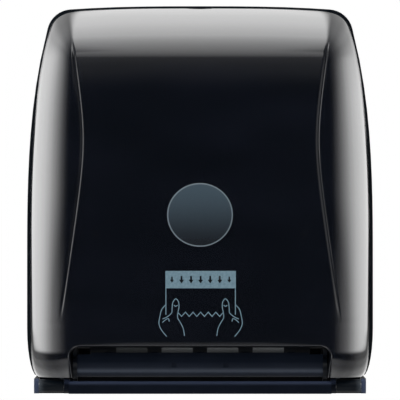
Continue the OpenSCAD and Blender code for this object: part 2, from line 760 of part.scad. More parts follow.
module lock_body() {
    color(steel) in_frame() difference() {
        union() {
            post(0, lock_y, flange_z, lock_face, flange_r);
            post(0, lock_y, barrel_z, flange_z + 0.5, barrel_r);
        }
        post(0, lock_y, barrel_z - 1, cover_top + 3, plug_r + run_fit);
    }
}

module lock_nut() {
    color(steel) in_frame() difference() {
        translate([0, lock_y, boss_z - 4.1]) cylinder(h = 4, r = barrel_r + 4.5, $fn = 6);
        post(0, lock_y, boss_z - 6, cover_top, barrel_r + push_fit);
    }
}

module lock_plug() {
    color(steel) in_frame() difference() {
        post(0, lock_y, hook_z + 2.5, lock_face, plug_r);
        translate([-0.7, lock_y - 3.2, lock_face - 4]) cube([1.4, 6.4, 8]);
        post(0, lock_y, hook_z, hook_z + 10, screw_r + 0.1);
    }
}

module lock_hook() {
    color(steel) in_frame() translate([0, lock_y, hook_z]) linear_extrude(2.5) difference() {
        union() {
            circle(plug_r + 1.5);
            rotate(210) translate([0, -3]) square([hook_reach + 2, 6]);
            intersection() {
                difference() {
                    circle(hook_reach + 3.5);
                    circle(hook_reach);
                }
                polygon(concat([[0, 0]], [for (a = [162:9:216]) 40 * [cos(a), sin(a)]]));
            }
        }
        circle(screw_r + 0.2);
    }
}

module hook_screw() {
    color(steel) in_frame() {
        post(0, lock_y, hook_z - head_h, hook_z, head_r);
        post(0, lock_y, hook_z, hook_z + 9, screw_r);
    }
}

// Half of the drum tube, in the drum's own directions: the slot faces along its Y
module drum_half(front) {
    half = drum_len / 2;
    difference() {
        across(-half, half) intersection() {
            difference() {
                circle(drum_r);
                circle(drum_r - drum_wall);
            }
            translate([front ? 0 : -drum_r - 1, -drum_r - 1]) square([drum_r + 1, 2 * drum_r + 2]);
        }
        for (x = band_x) across(x - band_w / 2 - 0.2, x + band_w / 2 + 0.2) difference() {
            circle(drum_r + 2);
            circle(drum_r - band_seat);
        }
        if (front)
            translate([-slot_len / 2, 0, -slot_half]) cube([slot_len, drum_r + 2, 2 * slot_half]);
    }
}

module drum_shell_front() {
    color(inner_black) in_frame() in_drum() drum_half(true);
}

module drum_shell_rear() {
    color(inner_black) in_frame() in_drum() drum_half(false);
}

module drum_end() {
    half = drum_len / 2;
    difference() {
        across(half - end_t, half) difference() {
            circle(drum_r - drum_wall - push_fit);
            circle(stub_r + push_fit);
            translate([knife_axis, 0]) circle(knife_shaft_r + run_fit);
        }
        for (a = [75, 120, 180, 240, 285]) across(half - 3, half + 1)
            translate(21 * [cos(a), sin(a)]) circle(6.5);
    }
}

module drum_end_left() {
    color(inner_black) in_frame() in_drum() on_side(-1) drum_end();
}

module drum_end_right() {
    color(inner_black) in_frame() in_drum() drum_end();
}

module drum_stub_left() {
    color(steel) in_frame() axle(-frame_out - 6, -drum_len / 2 + end_t, drum_at, stub_r);
}

module drum_stub_right() {
    color(steel) in_frame() axle(drum_len / 2 - end_t, frame_out + 13, drum_at, stub_r);
}

module grip_band(x) {
    color(grip_grey) in_frame() in_drum() difference() {
        across(x - band_w / 2, x + band_w / 2) difference() {
            circle(drum_r + band_proud);
            circle(drum_r - band_seat + push_fit);
        }
        translate([x - band_w, 0, -slot_half - 0.5]) cube([2 * band_w, drum_r + 2, 2 * slot_half + 1]);
    }
}

module grip_band_1() { grip_band(band_x[0]); }
module grip_band_2() { grip_band(band_x[1]); }
module grip_band_3() { grip_band(band_x[2]); }
module grip_band_4() { grip_band(band_x[3]); }

module feed_wheel() {
    color(grip_grey) in_frame() translate([0, drum_at[0], drum_at[1]]) difference() {
        union() {
            across(frame_out + 4, frame_out + 12)
                polygon([for (a = [0:3.75:356.25]) (19.2 + 0.8 * cos(24 * a)) * [cos(a), sin(a)]]);
            across(frame_out + 1.5, frame_out + 5) circle(9);
        }
        across(frame_out, frame_out + 14) circle(stub_r + push_fit);
    }
}

module crank_disc() {
    color(gear_white) in_frame() {
        difference() {
            axle(-frame_out - 5.5, -frame_out - 2, drum_at, 16);
            axle(-frame_out - 7, -frame_out - 1, drum_at, stub_r + push_fit);
        }
        axle(-frame_out - 11, -frame_out - 5, crank_at, crank_pin_r);
    }
}

module knife_shaft() {
    color(steel) in_frame() in_knife() axle(-drum_len / 2 + 0.4, gear_x1 + 1, [0, 0], knife_shaft_r);
}

module knife_clamp() {
    half = clamp_half;
    color(inner_black) in_frame() in_knife() difference() {
        union() {
            axle(-half, half, [0, 0], knife_shaft_r + 1.2);
            translate([-half, 0, -2.6]) cube([2 * half, tip_r - 5, 2.2]);
        }
        axle(-half - 1, half + 1, [0, 0], knife_shaft_r + push_fit);
        translate([-half - 1, 3, -0.4]) cube([2 * half + 2, 4, 6]);
        for (x = clamp_x) post(x, tip_r - 6.8, -4, 1, 0.9);
    }
}

module knife_blade() {
    half = clamp_half;
    teeth = 64;
    step = 2 * half / teeth;
    color(steel) in_frame() in_knife() translate([0, 0, -0.4]) linear_extrude(0.8) difference() {
        polygon(concat([[half, knife_shaft_r + 1.4], [half, tip_r - 2.5]],
            [for (i = [0:teeth - 1]) let (x = half - i * step)
                each [[x - step / 2, tip_r], [x - step, tip_r - 2.5]]],
            [[-half, knife_shaft_r + 1.4]]));
        for (x = clamp_x) translate([x, tip_r - 6.8]) circle(0.9);
    }
}

module clamp_screws() {
    color(steel) in_frame() in_knife() for (x = clamp_x) {
        post(x, tip_r - 6.8, -2.4, 0.4, 0.8);
        post(x, tip_r - 6.8, 0.4, 1.4, 1.5);
    }
}

module planet_gear() {
    color(gear_white) in_frame() in_knife() difference() {
        union() {
            across(gear_x0, gear_x1) polygon(gear_points(180 / gear_teeth));
            across(drum_len / 2 + 0.4, gear_x0 + 0.5) circle(8);
        }
        across(drum_len / 2, gear_x1 + 1) circle(knife_shaft_r + push_fit);
    }
}

module pinch_yoke() {
    color(inner_black) in_frame() difference() {
        union() {
            axle(-frame_in + 0.5, frame_in - 0.5, yoke_at, 5);
            axle(-frame_out + 0.5, frame_out - 0.5, yoke_at, yoke_pin_r);
            for (s = [-1, 1]) on_side(s) across(yoke_x0, yoke_x1) hull() {
                translate(yoke_at) circle(6, $fn = 32);
                translate(pinch_at) circle(6, $fn = 32);
            }
        }
        axle(-frame_in, frame_in, pinch_at, pinch_shaft_r + run_fit);
    }
}

module pinch_shaft() {
    color(steel) in_frame() axle(-yoke_x1 - 2, yoke_x1 + 2, pinch_at, pinch_shaft_r);
}

module pinch_tyres() {
    color(grip_grey) in_frame() for (x = band_x) difference() {
        axle(x - band_w / 2, x + band_w / 2, pinch_at, pinch_r);
        axle(x - band_w, x + band_w, pinch_at, pinch_shaft_r + push_fit);
    }
}

module roll_arm() {
    difference() {
        union() {
            across(arm_x - arm_t / 2, arm_x + arm_t / 2) hull() {
                translate(hub_at) circle(14, $fn = 48);
                translate([-arm_pivot - 4, roll_z - arm_half_h]) square([4, 2 * arm_half_h]);
            }
            post(arm_x, -arm_pivot, roll_z - arm_half_h, roll_z + arm_half_h, 5.5);
        }
        post(arm_x, -arm_pivot, roll_z - 30, roll_z + 30, arm_pin_r + run_fit);
        axle(arm_x - 10, arm_x + 10, hub_at, hub_axle_r + push_fit);
        across(arm_x - 10, arm_x + 10) translate([-roll_depth / 2 - 8, roll_z]) circle(8);
    }
}

module roll_arm_left() {
    color(chassis_black) in_frame() on_side(-1) roll_arm();
}

module roll_arm_right() {
    color(chassis_black) in_frame() roll_arm();
}

module hub_axle() {
    axle(hub_x0 - 0.5, arm_x + arm_t / 2 + 0.5, hub_at, hub_axle_r);
    axle(arm_x + arm_t / 2, arm_x + arm_t / 2 + 2, hub_at, 6);
    axle(hub_x0 - 2, hub_x0 - 0.4, hub_at, 5);
}

module hub_axle_left() {
    color(steel) in_frame() on_side(-1) hub_axle();
}

module hub_axle_right() {
    color(steel) in_frame() hub_axle();
}

module core_hub() {
    bore = hub_axle_r + run_fit;
    translate([0, hub_at[0], hub_at[1]]) rotate([0, 90, 0]) rotate_extrude() polygon([[bore, hub_x0],
        [core_r - 4, hub_x0], [core_r - 2, hub_x0 + 2], [core_r, hub_x1 - 4], [core_r + 5, hub_x1 - 4],
        [core_r + 5, hub_x1 - 1], [core_r + 4, hub_x1], [bore, hub_x1]]);
}

module core_hub_left() {
    color(grip_grey) in_frame() on_side(-1) core_hub();
}

module core_hub_right() {
    color(grip_grey) in_frame() core_hub();
}

back_plate();
base_tray();
side_frame_left();
side_frame_right();
delivery_lip();
stripper_comb();
rear_guide();
front_guard();
drum_bush_left();
drum_bush_right();
sun_gear();
spring_cover();
return_spring();
arm_bracket_left();
arm_bracket_right();
arm_pins();
hinge_pins();
catch_bracket();
frame_screws();
front_cover();
hinge_bracket_left();
hinge_bracket_right();
hinge_screws();
badge_lens();
lock_body();
lock_nut();
lock_plug();
lock_hook();
hook_screw();
drum_shell_front();
drum_shell_rear();
drum_end_left();
drum_end_right();
drum_stub_left();
drum_stub_right();
grip_band_1();
grip_band_2();
grip_band_3();
grip_band_4();
feed_wheel();
crank_disc();
knife_shaft();
knife_clamp();
knife_blade();
planet_gear();
clamp_screws();
pinch_yoke();
pinch_shaft();
pinch_tyres();
roll_arm_left();
roll_arm_right();
hub_axle_left();
hub_axle_right();
core_hub_left();
core_hub_right();
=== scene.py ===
# %% [markdown]
# # A hands-free towel dispenser
# The dispenser hangs on a wall: a glossy smoked cover over a black chassis, with a cutting drum behind its
# mouth. Solids with the true sizes and joints are packed already, so the lesson starts by loading them as a
# fixed frame. Every piece made here rides on one of the frame's bodies and moves when that body moves.

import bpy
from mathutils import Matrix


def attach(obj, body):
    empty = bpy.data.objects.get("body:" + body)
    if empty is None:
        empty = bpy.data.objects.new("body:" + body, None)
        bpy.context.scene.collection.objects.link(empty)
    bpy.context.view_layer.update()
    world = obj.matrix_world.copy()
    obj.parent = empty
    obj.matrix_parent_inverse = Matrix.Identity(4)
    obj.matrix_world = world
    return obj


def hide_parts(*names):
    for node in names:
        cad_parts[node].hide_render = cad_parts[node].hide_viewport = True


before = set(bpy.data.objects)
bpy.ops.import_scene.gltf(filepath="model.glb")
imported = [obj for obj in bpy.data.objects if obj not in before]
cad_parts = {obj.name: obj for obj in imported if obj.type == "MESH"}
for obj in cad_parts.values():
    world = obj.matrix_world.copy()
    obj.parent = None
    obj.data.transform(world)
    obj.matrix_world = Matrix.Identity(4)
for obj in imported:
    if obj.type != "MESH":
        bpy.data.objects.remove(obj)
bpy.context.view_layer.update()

# %% [markdown]
# The frame is in metres, and its origin lies on the wall, 240 mm above the base. Sizes are easier to read
# in millimetres from the wall and from the base, so one helper turns those into a point.

# %% Units and places
import math

import bmesh
import bpy
from mathutils import Vector

scene = bpy.context.scene
MM = 0.001
ORIGIN_UP = 240


def spot(x, depth, z):
    """A point from millimetres right of the middle, in front of the wall and above the base."""
    return Vector((x * MM, -depth * MM, (z - ORIGIN_UP) * MM))


# %% [markdown]
# ## Camera
# The dispenser is seen straight on and from far away, so its sides hardly converge. A wide lens close by
# would give the same outline but would show too much of the underside. A long lens ten metres away keeps
# the rim, the mouth and the base in the places that they have in a product picture.

# %% Set the camera
FRONT, RIM_FACE = 221, 18
CAMERA_AWAY, CAMERA_UP = 10000, 183
VIEW_WIDTH = 384
SENSOR = 36

lens = bpy.data.cameras.new("front_camera")
lens.sensor_width = SENSOR
lens.lens = SENSOR * (CAMERA_AWAY + FRONT - RIM_FACE) / VIEW_WIDTH
camera = bpy.data.objects.new("front_camera", lens)
camera.location = spot(0, FRONT + CAMERA_AWAY, CAMERA_UP)
camera.rotation_euler = (math.radians(90), 0, 0)
scene.collection.objects.link(camera)
scene.camera = camera
scene.view_settings.view_transform = "Standard"
print("lens in mm:", round(lens.lens))

# %% [markdown]
# ## Sums on sockets
# A finish is a small sum: a tone, plus some grain, times some wear. Node editors show such sums as long
# chains, which are slow to read in a script. A wire here stands for one socket, and the usual signs work on
# it, so that a line of Python adds the Math nodes. Every other node comes from one method of the bench that
# the wire belongs to.


# %% Wires and the bench
class Wire:
    """One output socket. Sums on it add Math nodes."""

    def __init__(self, bench, socket):
        self.bench, self.socket = bench, socket

    def sum(self, operation, a, b=0.0):
        return self.bench.node("ShaderNodeMath", {"operation": operation}, {0: a, 1: b})

    def __add__(self, other):
        return self.sum("ADD", self, other)

    def __radd__(self, other):
        return self.sum("ADD", other, self)

    def __sub__(self, other):
        return self.sum("SUBTRACT", self, other)

    def __rsub__(self, other):
        return self.sum("SUBTRACT", other, self)

    def __mul__(self, other):
        return self.sum("MULTIPLY", self, other)

    def __rmul__(self, other):
        return self.sum("MULTIPLY", other, self)

    def __truediv__(self, other):
        return self.sum("DIVIDE", self, other)

    def __rtruediv__(self, other):
        return self.sum("DIVIDE", other, self)

    def __pow__(self, other):
        return self.sum("POWER", self, other)

    def __rpow__(self, other):
        return self.sum("POWER", other, self)

    def other(self, name):
        """Another output of the same node."""
        return Wire(self.bench, self.socket.node.outputs[name])

    def fade(self, low, high):
        """0 below low, 1 above high and smooth between them."""
        return self.bench.node(
            "ShaderNodeMapRange",
            {"interpolation_type": "SMOOTHSTEP"},
            {"Value": self, "From Min": low, "From Max": high},
        )

    def swing(self, amount):
        """Noise as a swing of some size about zero."""
        return (self - 0.5) * amount

    def between(self, tone_a, tone_b):
        """A colour: tone_a where the wire is 0 and tone_b where it is 1."""
        colour_sockets = {0: self, 6: tone_a, 7: tone_b}
        return self.bench.node("ShaderNodeMix", {"data_type": "RGBA"}, colour_sockets, out=2)

    def stretch(self, factors):
        """A vector with each part multiplied."""
        return self.bench.node("ShaderNodeVectorMath", {"operation": "MULTIPLY"}, {0: self, 1: factors})


class Bench:
    """A node tree that is being wired."""

    def __init__(self, tree):
        self.tree = tree
        tree.nodes.clear()

    def node(self, kind, settings=None, sockets=None, out=0):
        made = self.tree.nodes.new(kind)
        for name, value in (settings or {}).items():
            if name == "stops":
                ramp = made.color_ramp
                while len(ramp.elements) < len(value):
                    ramp.elements.new(1.0)
                for stop, (place, colour) in zip(ramp.elements, value):
                    stop.position, stop.color = place, colour
            else:
                setattr(made, name, value)
        for name, value in (sockets or {}).items():
            if isinstance(value, Wire):
                self.tree.links.new(value.socket, made.inputs[name])
            else:
                made.inputs[name].default_value = value
        return Wire(self, made.outputs[out]) if made.outputs else made


WHITE = (1, 1, 1, 1)


def tone(red, green, blue):
    """A colour from the 0 to 255 numbers of a paint program, as the linear light that shaders use."""
    parts = [c / 255 for c in (red, green, blue)]
    return tuple(c / 12.92 if c <= 0.04045 else ((c + 0.055) / 1.055) ** 2.4 for c in parts) + (1.0,)


print("mid grey as light:", round(tone(128, 128, 128)[0], 3))

# %% [markdown]
# ## Studio
# The cover is a dark mirror, so most of what is seen on it is the room. A black screen stands round the
# camera and keeps the broad front dark. White sheets to the left and to the right and a long one overhead
# give the pale, soft bands along the rounded edges, with a dark gap between them at the shoulders. A grey
# table shows in the folded feet, and a low card in front of it in the lip. A few lamps would leave hard
# spots there, so the world itself is shaded by direction. Four measures of a direction do that: how far it
# is turned away from the camera, how far it leans above the level, how far it climbs over the top and how
# steeply it folds down.

# %% Measures of a direction
FOOT_SPLAY = 0.28
ABOVE_ZERO = 0.001

world = bpy.data.worlds.new("studio")
world.use_nodes = True
scene.world = world
room = Bench(world.node_tree)
way = room.node("ShaderNodeTexCoord", out="Generated")
across = room.node("ShaderNodeSeparateXYZ", sockets={0: way})
height, facing = across.other("Z"), across.other("Y") * -1
aside = across.sum("ABSOLUTE", across)
turned = across.sum("ARCCOSINE", facing) * math.degrees(1)
lean = across.sum("ARCTAN2", height, aside) * math.degrees(1)
climb = height.sum("ARCTANGENT", height / (1 + ABOVE_ZERO + facing)) * math.degrees(2)
fold = height * -1 / (1 + ABOVE_ZERO + facing + FOOT_SPLAY * aside)
print("nodes for the measures:", len(room.tree.nodes))

# %% [markdown]
# A sheet is a ramp of brightness over one of the measures. The side sheets stop where the table starts,
# apart from a trace that is left behind the dispenser. They dim below the level, and in steps up to the
# shoulders.

# %% Side sheets
HALF_TURN = 180
SIDE_STOPS = [
    (0, 0), (14, 0.002), (29, 0.021), (40, 0.06), (56, 0.127), (67, 0.216), (79, 0.32), (98, 0.505),
    (114, 0.655), (129, 0.665), (142, 0.565), (155, 0.43), (165, 0.365), (175, 0.3),
]
LEVEL, UPPER = (-5, 1.5), (5, 16)
BEHIND, FAR_BEHIND = (90, 150), (110, 150)
TABLE_EDGE, TRACE, TRACE_GAIN = (0.12, 0.32), 0.03, 0.09
LOW_LOSS, BEHIND_LOSS, UPPER_LOSS, RIGHT_LOSS = 0.55, 0.8, 0.2, 0.3
SHOULDER_STEPS = [(0.36, (8, 32)), (0.45, (34, 62)), (0.3, (60, 80))]


def sheet(measure, top, stops):
    """Brightness of one sheet: a ramp over a measure that reaches top. A stop is a place and a light."""
    greys = [(place / top, (light, light, light, 1)) for place, light in stops]
    return room.node("ShaderNodeValToRGB", {"stops": greys}, {0: measure / top})


def dim(share, measure, span):
    """A factor that falls from 1 by a share while a measure crosses a span."""
    return 1 - share * measure.fade(*span)


below = (1 - lean.fade(*LEVEL)) * dim(BEHIND_LOSS, turned, BEHIND)
clear = 1 - fold.fade(*TABLE_EDGE)
trace = TRACE + TRACE_GAIN * turned.fade(*FAR_BEHIND)
upper = lean.fade(*UPPER)
sides = sheet(turned, HALF_TURN, SIDE_STOPS) * clear.sum("MAXIMUM", clear * clear, trace)
sides = sides * (1 - LOW_LOSS * below) * (1 - UPPER_LOSS * upper) * (1 - RIGHT_LOSS * upper * across)
for share, span in SHOULDER_STEPS:
    sides = sides * dim(share, lean, span)
print("side stops:", len(SIDE_STOPS))

# %% [markdown]
# The overhead sheet goes by the climb, so its edge lies level across the cover. It ends at the shoulders,
# and close to the camera's direction it reaches further out. The card and the table are what the parts that
# tip down mirror: the card in the middle of the lip and the table in the feet.

# %% Overhead sheet, card and table
TOP_STOPS = [
    (7.2, 0), (9.5, 0), (10.3, 0.003), (11.2, 0.024), (18, 0.06), (23, 0.15), (31, 0.245), (49, 0.355),
    (68, 0.435), (95, 0.545), (110, 0.61), (130, 0.48), (144, 0.4), (159, 0.28), (170, 0.23), (180, 0.2),
]
CARD_STOPS = [(14, 0), (31, 0.1), (38, 0.27), (43, 0.2), (50, 0.03), (56, 0)]
TABLE_STOPS = [
    (0.39, 0), (0.44, 0.1), (0.5, 0.112), (0.54, 0.096), (0.57, 0.11), (0.61, 0.14), (0.65, 0.19),
    (0.69, 0.24), (0.74, 0.29), (0.9, 0.31), (1.05, 0.36), (1.2, 0.45), (2, 0.8),
]
STEEPEST = 2
TOP_ENDS, TOP_REACH, NEARLY_AHEAD = (74, 85), 31, (12, 45)
CARD_ENDS, TABLE_ENDS = (-80, -70), (-84, -74)
TABLE_STEPS = [(0.5, (60, 110)), (0.4, (112, 130))]

overhead = sheet(climb, HALF_TURN, TOP_STOPS)
overhead = overhead * (lean + TOP_REACH * (1 - turned.fade(*NEARLY_AHEAD))).fade(*TOP_ENDS)
card = sheet(turned, HALF_TURN, CARD_STOPS) * (1 - lean.fade(*CARD_ENDS))
table = sheet(fold, STEEPEST, TABLE_STOPS) * lean.fade(*TABLE_ENDS)
for share, span in TABLE_STEPS:
    table = table * dim(share, turned, span)
print("other stops:", [len(stops) for stops in (TOP_STOPS, CARD_STOPS, TABLE_STOPS)])

# %% [markdown]
# The camera's own rays and those that pass through the cover see plain white, as behind any product
# picture. All other rays meet the sheets. The sheet on the left stands a little closer, so it is brighter.

# %% Light the studio
SHEET_LIGHT, LEFT_GAIN = 3.0, 0.1

light = (sides + overhead + card + table) * SHEET_LIGHT * (1 - LEFT_GAIN * across)
seen = room.node("ShaderNodeLightPath", out="Is Camera Ray")
plain = seen.sum("MAXIMUM", seen, seen.other("Is Transmission Ray"))
strength = light + plain * (1 - light)
glow = room.node("ShaderNodeBackground", sockets={"Color": WHITE, "Strength": strength})
room.node("ShaderNodeOutputWorld", sockets={"Surface": glow})
print("nodes in the studio:", len(room.tree.nodes))

# %% [markdown]
# Two broad lamps fill the mouth and the floor. They stand for the light that a white room sends from
# everywhere, so they are kept out of mirror reflections, where they would show as squares on the cover.


# %% Fill the shadows
def soft_lamp(name, place, pitch, size, watts):
    """A square lamp, tipped up from straight down by a pitch in degrees."""
    lamp = bpy.data.lights.new(name, "AREA")
    lamp.shape, lamp.size, lamp.energy = "SQUARE", size, watts
    holder = bpy.data.objects.new(name, lamp)
    holder.location, holder.rotation_euler = place, (math.radians(pitch), 0, 0)
    holder.visible_glossy = False
    scene.collection.objects.link(holder)
    return holder


lamps = [
    soft_lamp("front_fill", spot(-500, 3200, 300), pitch=90, size=2.4, watts=55),
    soft_lamp("top_fill", spot(0, 700, 2300), pitch=0, size=2.4, watts=30),
]
print("lamps:", [lamp.name for lamp in lamps])

# %% [markdown]
# ## Floor
# A pale floor catches the soft shadow and sends some light back up under the cover. The dispenser hangs on
# a wall and its cover swings down past the base, so the floor lies 80 mm lower. To the camera it fades to
# plain white, so that no horizon shows. It belongs to the studio and not to the dispenser.

# %% Lay the floor
FLOOR_HALF, FLOOR_DROP = 4.0, 0.08
FLOOR_CLEAR, FLOOR_FADE = 0.8, (0.25, 0.7)
FLOOR_DARK, FLOOR_LIGHT = (0.8, 0.8, 0.8, 1), (0.83, 0.83, 0.83, 1)

bm = bmesh.new()
bmesh.ops.create_grid(bm, x_segments=8, y_segments=8, size=FLOOR_HALF)
mesh = bpy.data.meshes.new("floor")
bm.to_mesh(mesh)
bm.free()
floor = bpy.data.objects.new("floor", mesh)
floor.location = (0, 0, spot(0, 0, 0).z - FLOOR_DROP)
scene.collection.objects.link(floor)
floor.visible_glossy = False

paint = bpy.data.materials.new("floor_paint")
paint.use_nodes = True
bench = Bench(paint.node_tree)
speckle = bench.node("ShaderNodeTexNoise", sockets={"Scale": 90.0, "Detail": 3.0})
paint_tone = speckle.between(FLOOR_DARK, FLOOR_LIGHT)
skin = bench.node("ShaderNodeBsdfPrincipled", sockets={"Base Color": paint_tone, "Roughness": 0.9})
blank = bench.node("ShaderNodeEmission", sockets={"Color": WHITE, "Strength": 1.0})
place = bench.node("ShaderNodeTexCoord", out="Object")
away = bench.node("ShaderNodeVectorMath", {"operation": "LENGTH"}, {0: place}, out="Value")
seen = bench.node("ShaderNodeLightPath", out="Is Camera Ray")
cleared = seen * (FLOOR_CLEAR + (1 - FLOOR_CLEAR) * away.fade(*FLOOR_FADE))
mixed = bench.node("ShaderNodeMixShader", sockets={0: cleared, 1: skin, 2: blank})
bench.node("ShaderNodeOutputMaterial", sockets={"Surface": mixed})
mesh.materials.append(paint)
print("floor at z", round(floor.location.z, 4))

# %% [markdown]
# ## Finishes
# The chassis is moulded black plastic with a fine spark-eroded grain. Flat black would look like a hole in
# the picture, so each plastic mixes two close tones with a slow cloud, and a fine noise makes the grain in
# the bump and moves the gloss a little. One function makes all of them, because only tone, gloss and grain
# differ.

# %% Moulded plastic
NOISE_SPAN = (0.3, 0.7)
CLOUD_SCALE, CLOUD_DETAIL = 22.0, 4.0
GRAIN_HEIGHT = 0.0004
GRAIN_GLOSS, CLOUD_GLOSS = 0.16, 0.1


def new_finish(name):
    material = bpy.data.materials.new(name)
    material.use_nodes = True
    return material, Bench(material.node_tree)


def speckle_of(bench, scale, detail=2.0, squeeze=None):
    """Noise laid out in the dispenser's own metres."""
    place = bench.node("ShaderNodeTexCoord", out="Object")
    if squeeze:
        place = place.stretch(squeeze)
    return bench.node("ShaderNodeTexNoise", sockets={"Vector": place, "Scale": scale, "Detail": detail})


def mottled(noise, dark, light):
    """Two tones mixed by noise that is pulled apart to its full range."""
    return noise.fade(*NOISE_SPAN).between(dark, light)


def bumped(height, strength, distance=GRAIN_HEIGHT):
    """A bump from some noise, for a Normal socket."""
    sockets = {"Strength": strength, "Distance": distance, "Height": height}
    return height.bench.node("ShaderNodeBump", sockets=sockets)


def cover_with(bench, sockets):
    skin = bench.node("ShaderNodeBsdfPrincipled", sockets=sockets)
    bench.node("ShaderNodeOutputMaterial", sockets={"Surface": skin})


def moulded(name, dark, light, gloss, grain, depth=0.08, shine=0.5):
    """Plastic from a grained mould: two tones, a middle roughness and the size of its grain per metre."""
    material, bench = new_finish(name)
    cloud = speckle_of(bench, CLOUD_SCALE, CLOUD_DETAIL)
    fine = speckle_of(bench, grain)
    cover_with(
        bench,
        {
            "Base Color": mottled(cloud, dark, light),
            "Roughness": gloss + fine.swing(GRAIN_GLOSS) + cloud.swing(CLOUD_GLOSS),
            "Specular IOR Level": shine,
            "IOR": 1.5,
            "Normal": bumped(fine, depth),
        },
    )
    return material


chassis_black = moulded("chassis_black", tone(9, 16, 23), tone(14, 22, 30), 0.42, 1500.0, shine=0.3)
inner_black = moulded("inner_black", tone(12, 16, 22), tone(17, 21, 28), 0.36, 1800.0, shine=0.35)
grey_plastic = moulded("grey_plastic", tone(84, 88, 92), tone(96, 99, 102), 0.45, 1400.0)
gear_white = moulded("gear_white", tone(196, 196, 187), tone(208, 207, 198), 0.4, 1200.0, depth=0.05)
grip_rubber = moulded("grip_rubber", tone(112, 116, 119), tone(127, 130, 132), 0.72, 900.0, depth=0.3)
# A darker copy of the grip rubber: painted shade for the first grip band, which lies in shadow.
painted_shade_rubber = moulded("painted_shade_rubber", tone(76, 79, 81), tone(88, 90, 92), 0.66, 900.0, depth=0.2)
print("materials so far:", len(bpy.data.materials))

# %% [markdown]
# Three pieces get a painted highlight, a paler tone in one band. The nose of the lip is polished by the
# paper that slides over it and carries a painted highlight, while the slope behind it keeps its grain. The
# base strip is painted paler towards its upper edge as a highlight, and the hinges at its two ends are
# painted pale where they face the light. These finishes therefore change with the height on the piece, with
# the distance from the middle and with the depth.

# %% Plastic with painted highlights
NO_ENDS = (200, 201)
HIGHLIGHT_DEPTH = (150, 163)


def painted_highlight_plastic(name, dark, light, lit_tone, gloss, polish, shine, band, ends=NO_ENDS):
    """Plastic with a painted highlight: a paler tone and a coat of polish in a band of heights, given as
    start, full, full and end, and towards its two ends, given as the distances from the middle where the
    highlight starts and is full.
    It is painted only in front, as far back as a given depth."""
    material, bench = new_finish(name)
    place = bench.node("ShaderNodeTexCoord", out="Object")
    sideways = bench.node("ShaderNodeSeparateXYZ", sockets={0: place})
    level, depth = sideways.other("Z"), sideways.other("Y") * -1
    start, full, still, end = [spot(0, 0, z).z for z in band]
    # The mask of the painted highlight: a band of heights and the two ends, only in front. It lightens the
    # tone.
    in_band = level.fade(start, full) * (1 - level.fade(still, end))
    at_ends = sideways.sum("ABSOLUTE", sideways).fade(*[x * MM for x in ends])
    in_front = depth.fade(*[d * MM for d in HIGHLIGHT_DEPTH])
    highlight_mask = in_band.sum("MAXIMUM", in_band, at_ends) * in_front
    cloud = speckle_of(bench, CLOUD_SCALE, CLOUD_DETAIL)
    fine = speckle_of(bench, 1800.0)
    cover_with(
        bench,
        {
            "Base Color": highlight_mask.between(mottled(cloud, dark, light), lit_tone),
            "Roughness": gloss + fine.swing(0.1),
            "Specular IOR Level": shine,
            "Coat Weight": highlight_mask * polish,
            "Coat Roughness": 0.2,
            "Coat IOR": 2.0,
            "Normal": bumped(fine, 0.03),
        },
    )
    return material


# Bands of painted highlight: the lip's nose, the upper edge of the base strip and the hinges. The ends of
# the base and the hinges are painted pale too.
LIP_BAND, BASE_BAND, HINGE_BAND = (18.8, 21.2, 22, 25.6), (7.4, 12.5, 20, 21), (13, 16, 20, 21)
HIGHLIGHT_ENDS = (146, 157)
lip_black = painted_highlight_plastic(
    "lip_black", tone(19, 26, 38), tone(24, 31, 44), tone(47, 55, 68),
    gloss=0.7, polish=0.2, shine=0.3, band=LIP_BAND,
)
base_black = painted_highlight_plastic(
    "base_black", tone(8, 15, 27), tone(11, 19, 32), tone(60, 70, 94),
    gloss=0.5, polish=0.0, shine=0.15, band=BASE_BAND, ends=HIGHLIGHT_ENDS,
)
hinge_black = painted_highlight_plastic(
    "hinge_black", tone(9, 16, 23), tone(14, 22, 30), tone(84, 92, 100),
    gloss=0.42, polish=0.0, shine=0.3, band=HINGE_BAND, ends=HIGHLIGHT_ENDS,
)
print("rubbed:", lip_black.name, base_black.name, hinge_black.name)

# %% [markdown]
# Shafts, pins and screws are zinc-plated steel, turned on a lathe or drawn, so fine lines run along or
# around them. Noise that is squeezed in one direction gives such lines. The lock is plated zinc, smoother
# and a little warmer.


# %% Metal
def plated(name, dark, light, gloss, squeeze):
    """Metal with fine drawn lines: noise that is squeezed across the lines."""
    material, bench = new_finish(name)
    lines = speckle_of(bench, 60.0, 5.0, squeeze)
    cloud = speckle_of(bench, 45.0, 3.0)
    cover_with(
        bench,
        {
            "Base Color": mottled(cloud, dark, light),
            "Metallic": 1.0,
            "Roughness": gloss + lines.swing(0.2),
            "Normal": bumped(lines, 0.06, 0.0002),
        },
    )
    return material


steel = plated("steel", tone(164, 167, 170), tone(188, 190, 191), 0.3, (2.0, 30.0, 30.0))
lock_metal = plated("lock_metal", tone(176, 177, 176), tone(196, 197, 196), 0.16, (18.0, 18.0, 2.0))
print("metals:", steel.name, lock_metal.name)

# %% [markdown]
# The cover is injection-moulded in dark smoke-tinted plastic and polished. It lets a trace of light
# through, its colour leans to blue, and the polish keeps a faint orange peel and a few wiped streaks. The
# gloss does most of the work here: with a high index the rounded edges mirror the white sheets long before
# they turn edge-on.

# %% Smoked plastic
smoke, bench = new_finish("smoke")
wipes = speckle_of(bench, 9.0, 4.0, (1.0, 1.0, 3.0))
peel = speckle_of(bench, 420.0, 1.0)
cover_with(
    bench,
    {
        "Base Color": wipes.fade(0.3, 0.75).between(tone(13, 16, 22), tone(17, 20, 28)),
        "Roughness": 0.05 + wipes.fade(0.45, 0.8) * 0.05,
        "IOR": 2.0,
        "Alpha": 0.94 + wipes * 0.02,
        "Coat Weight": 0.6,
        "Coat Roughness": 0.03,
        "Normal": bumped(peel, 0.012),
    },
)
print("cover finish:", smoke.name)

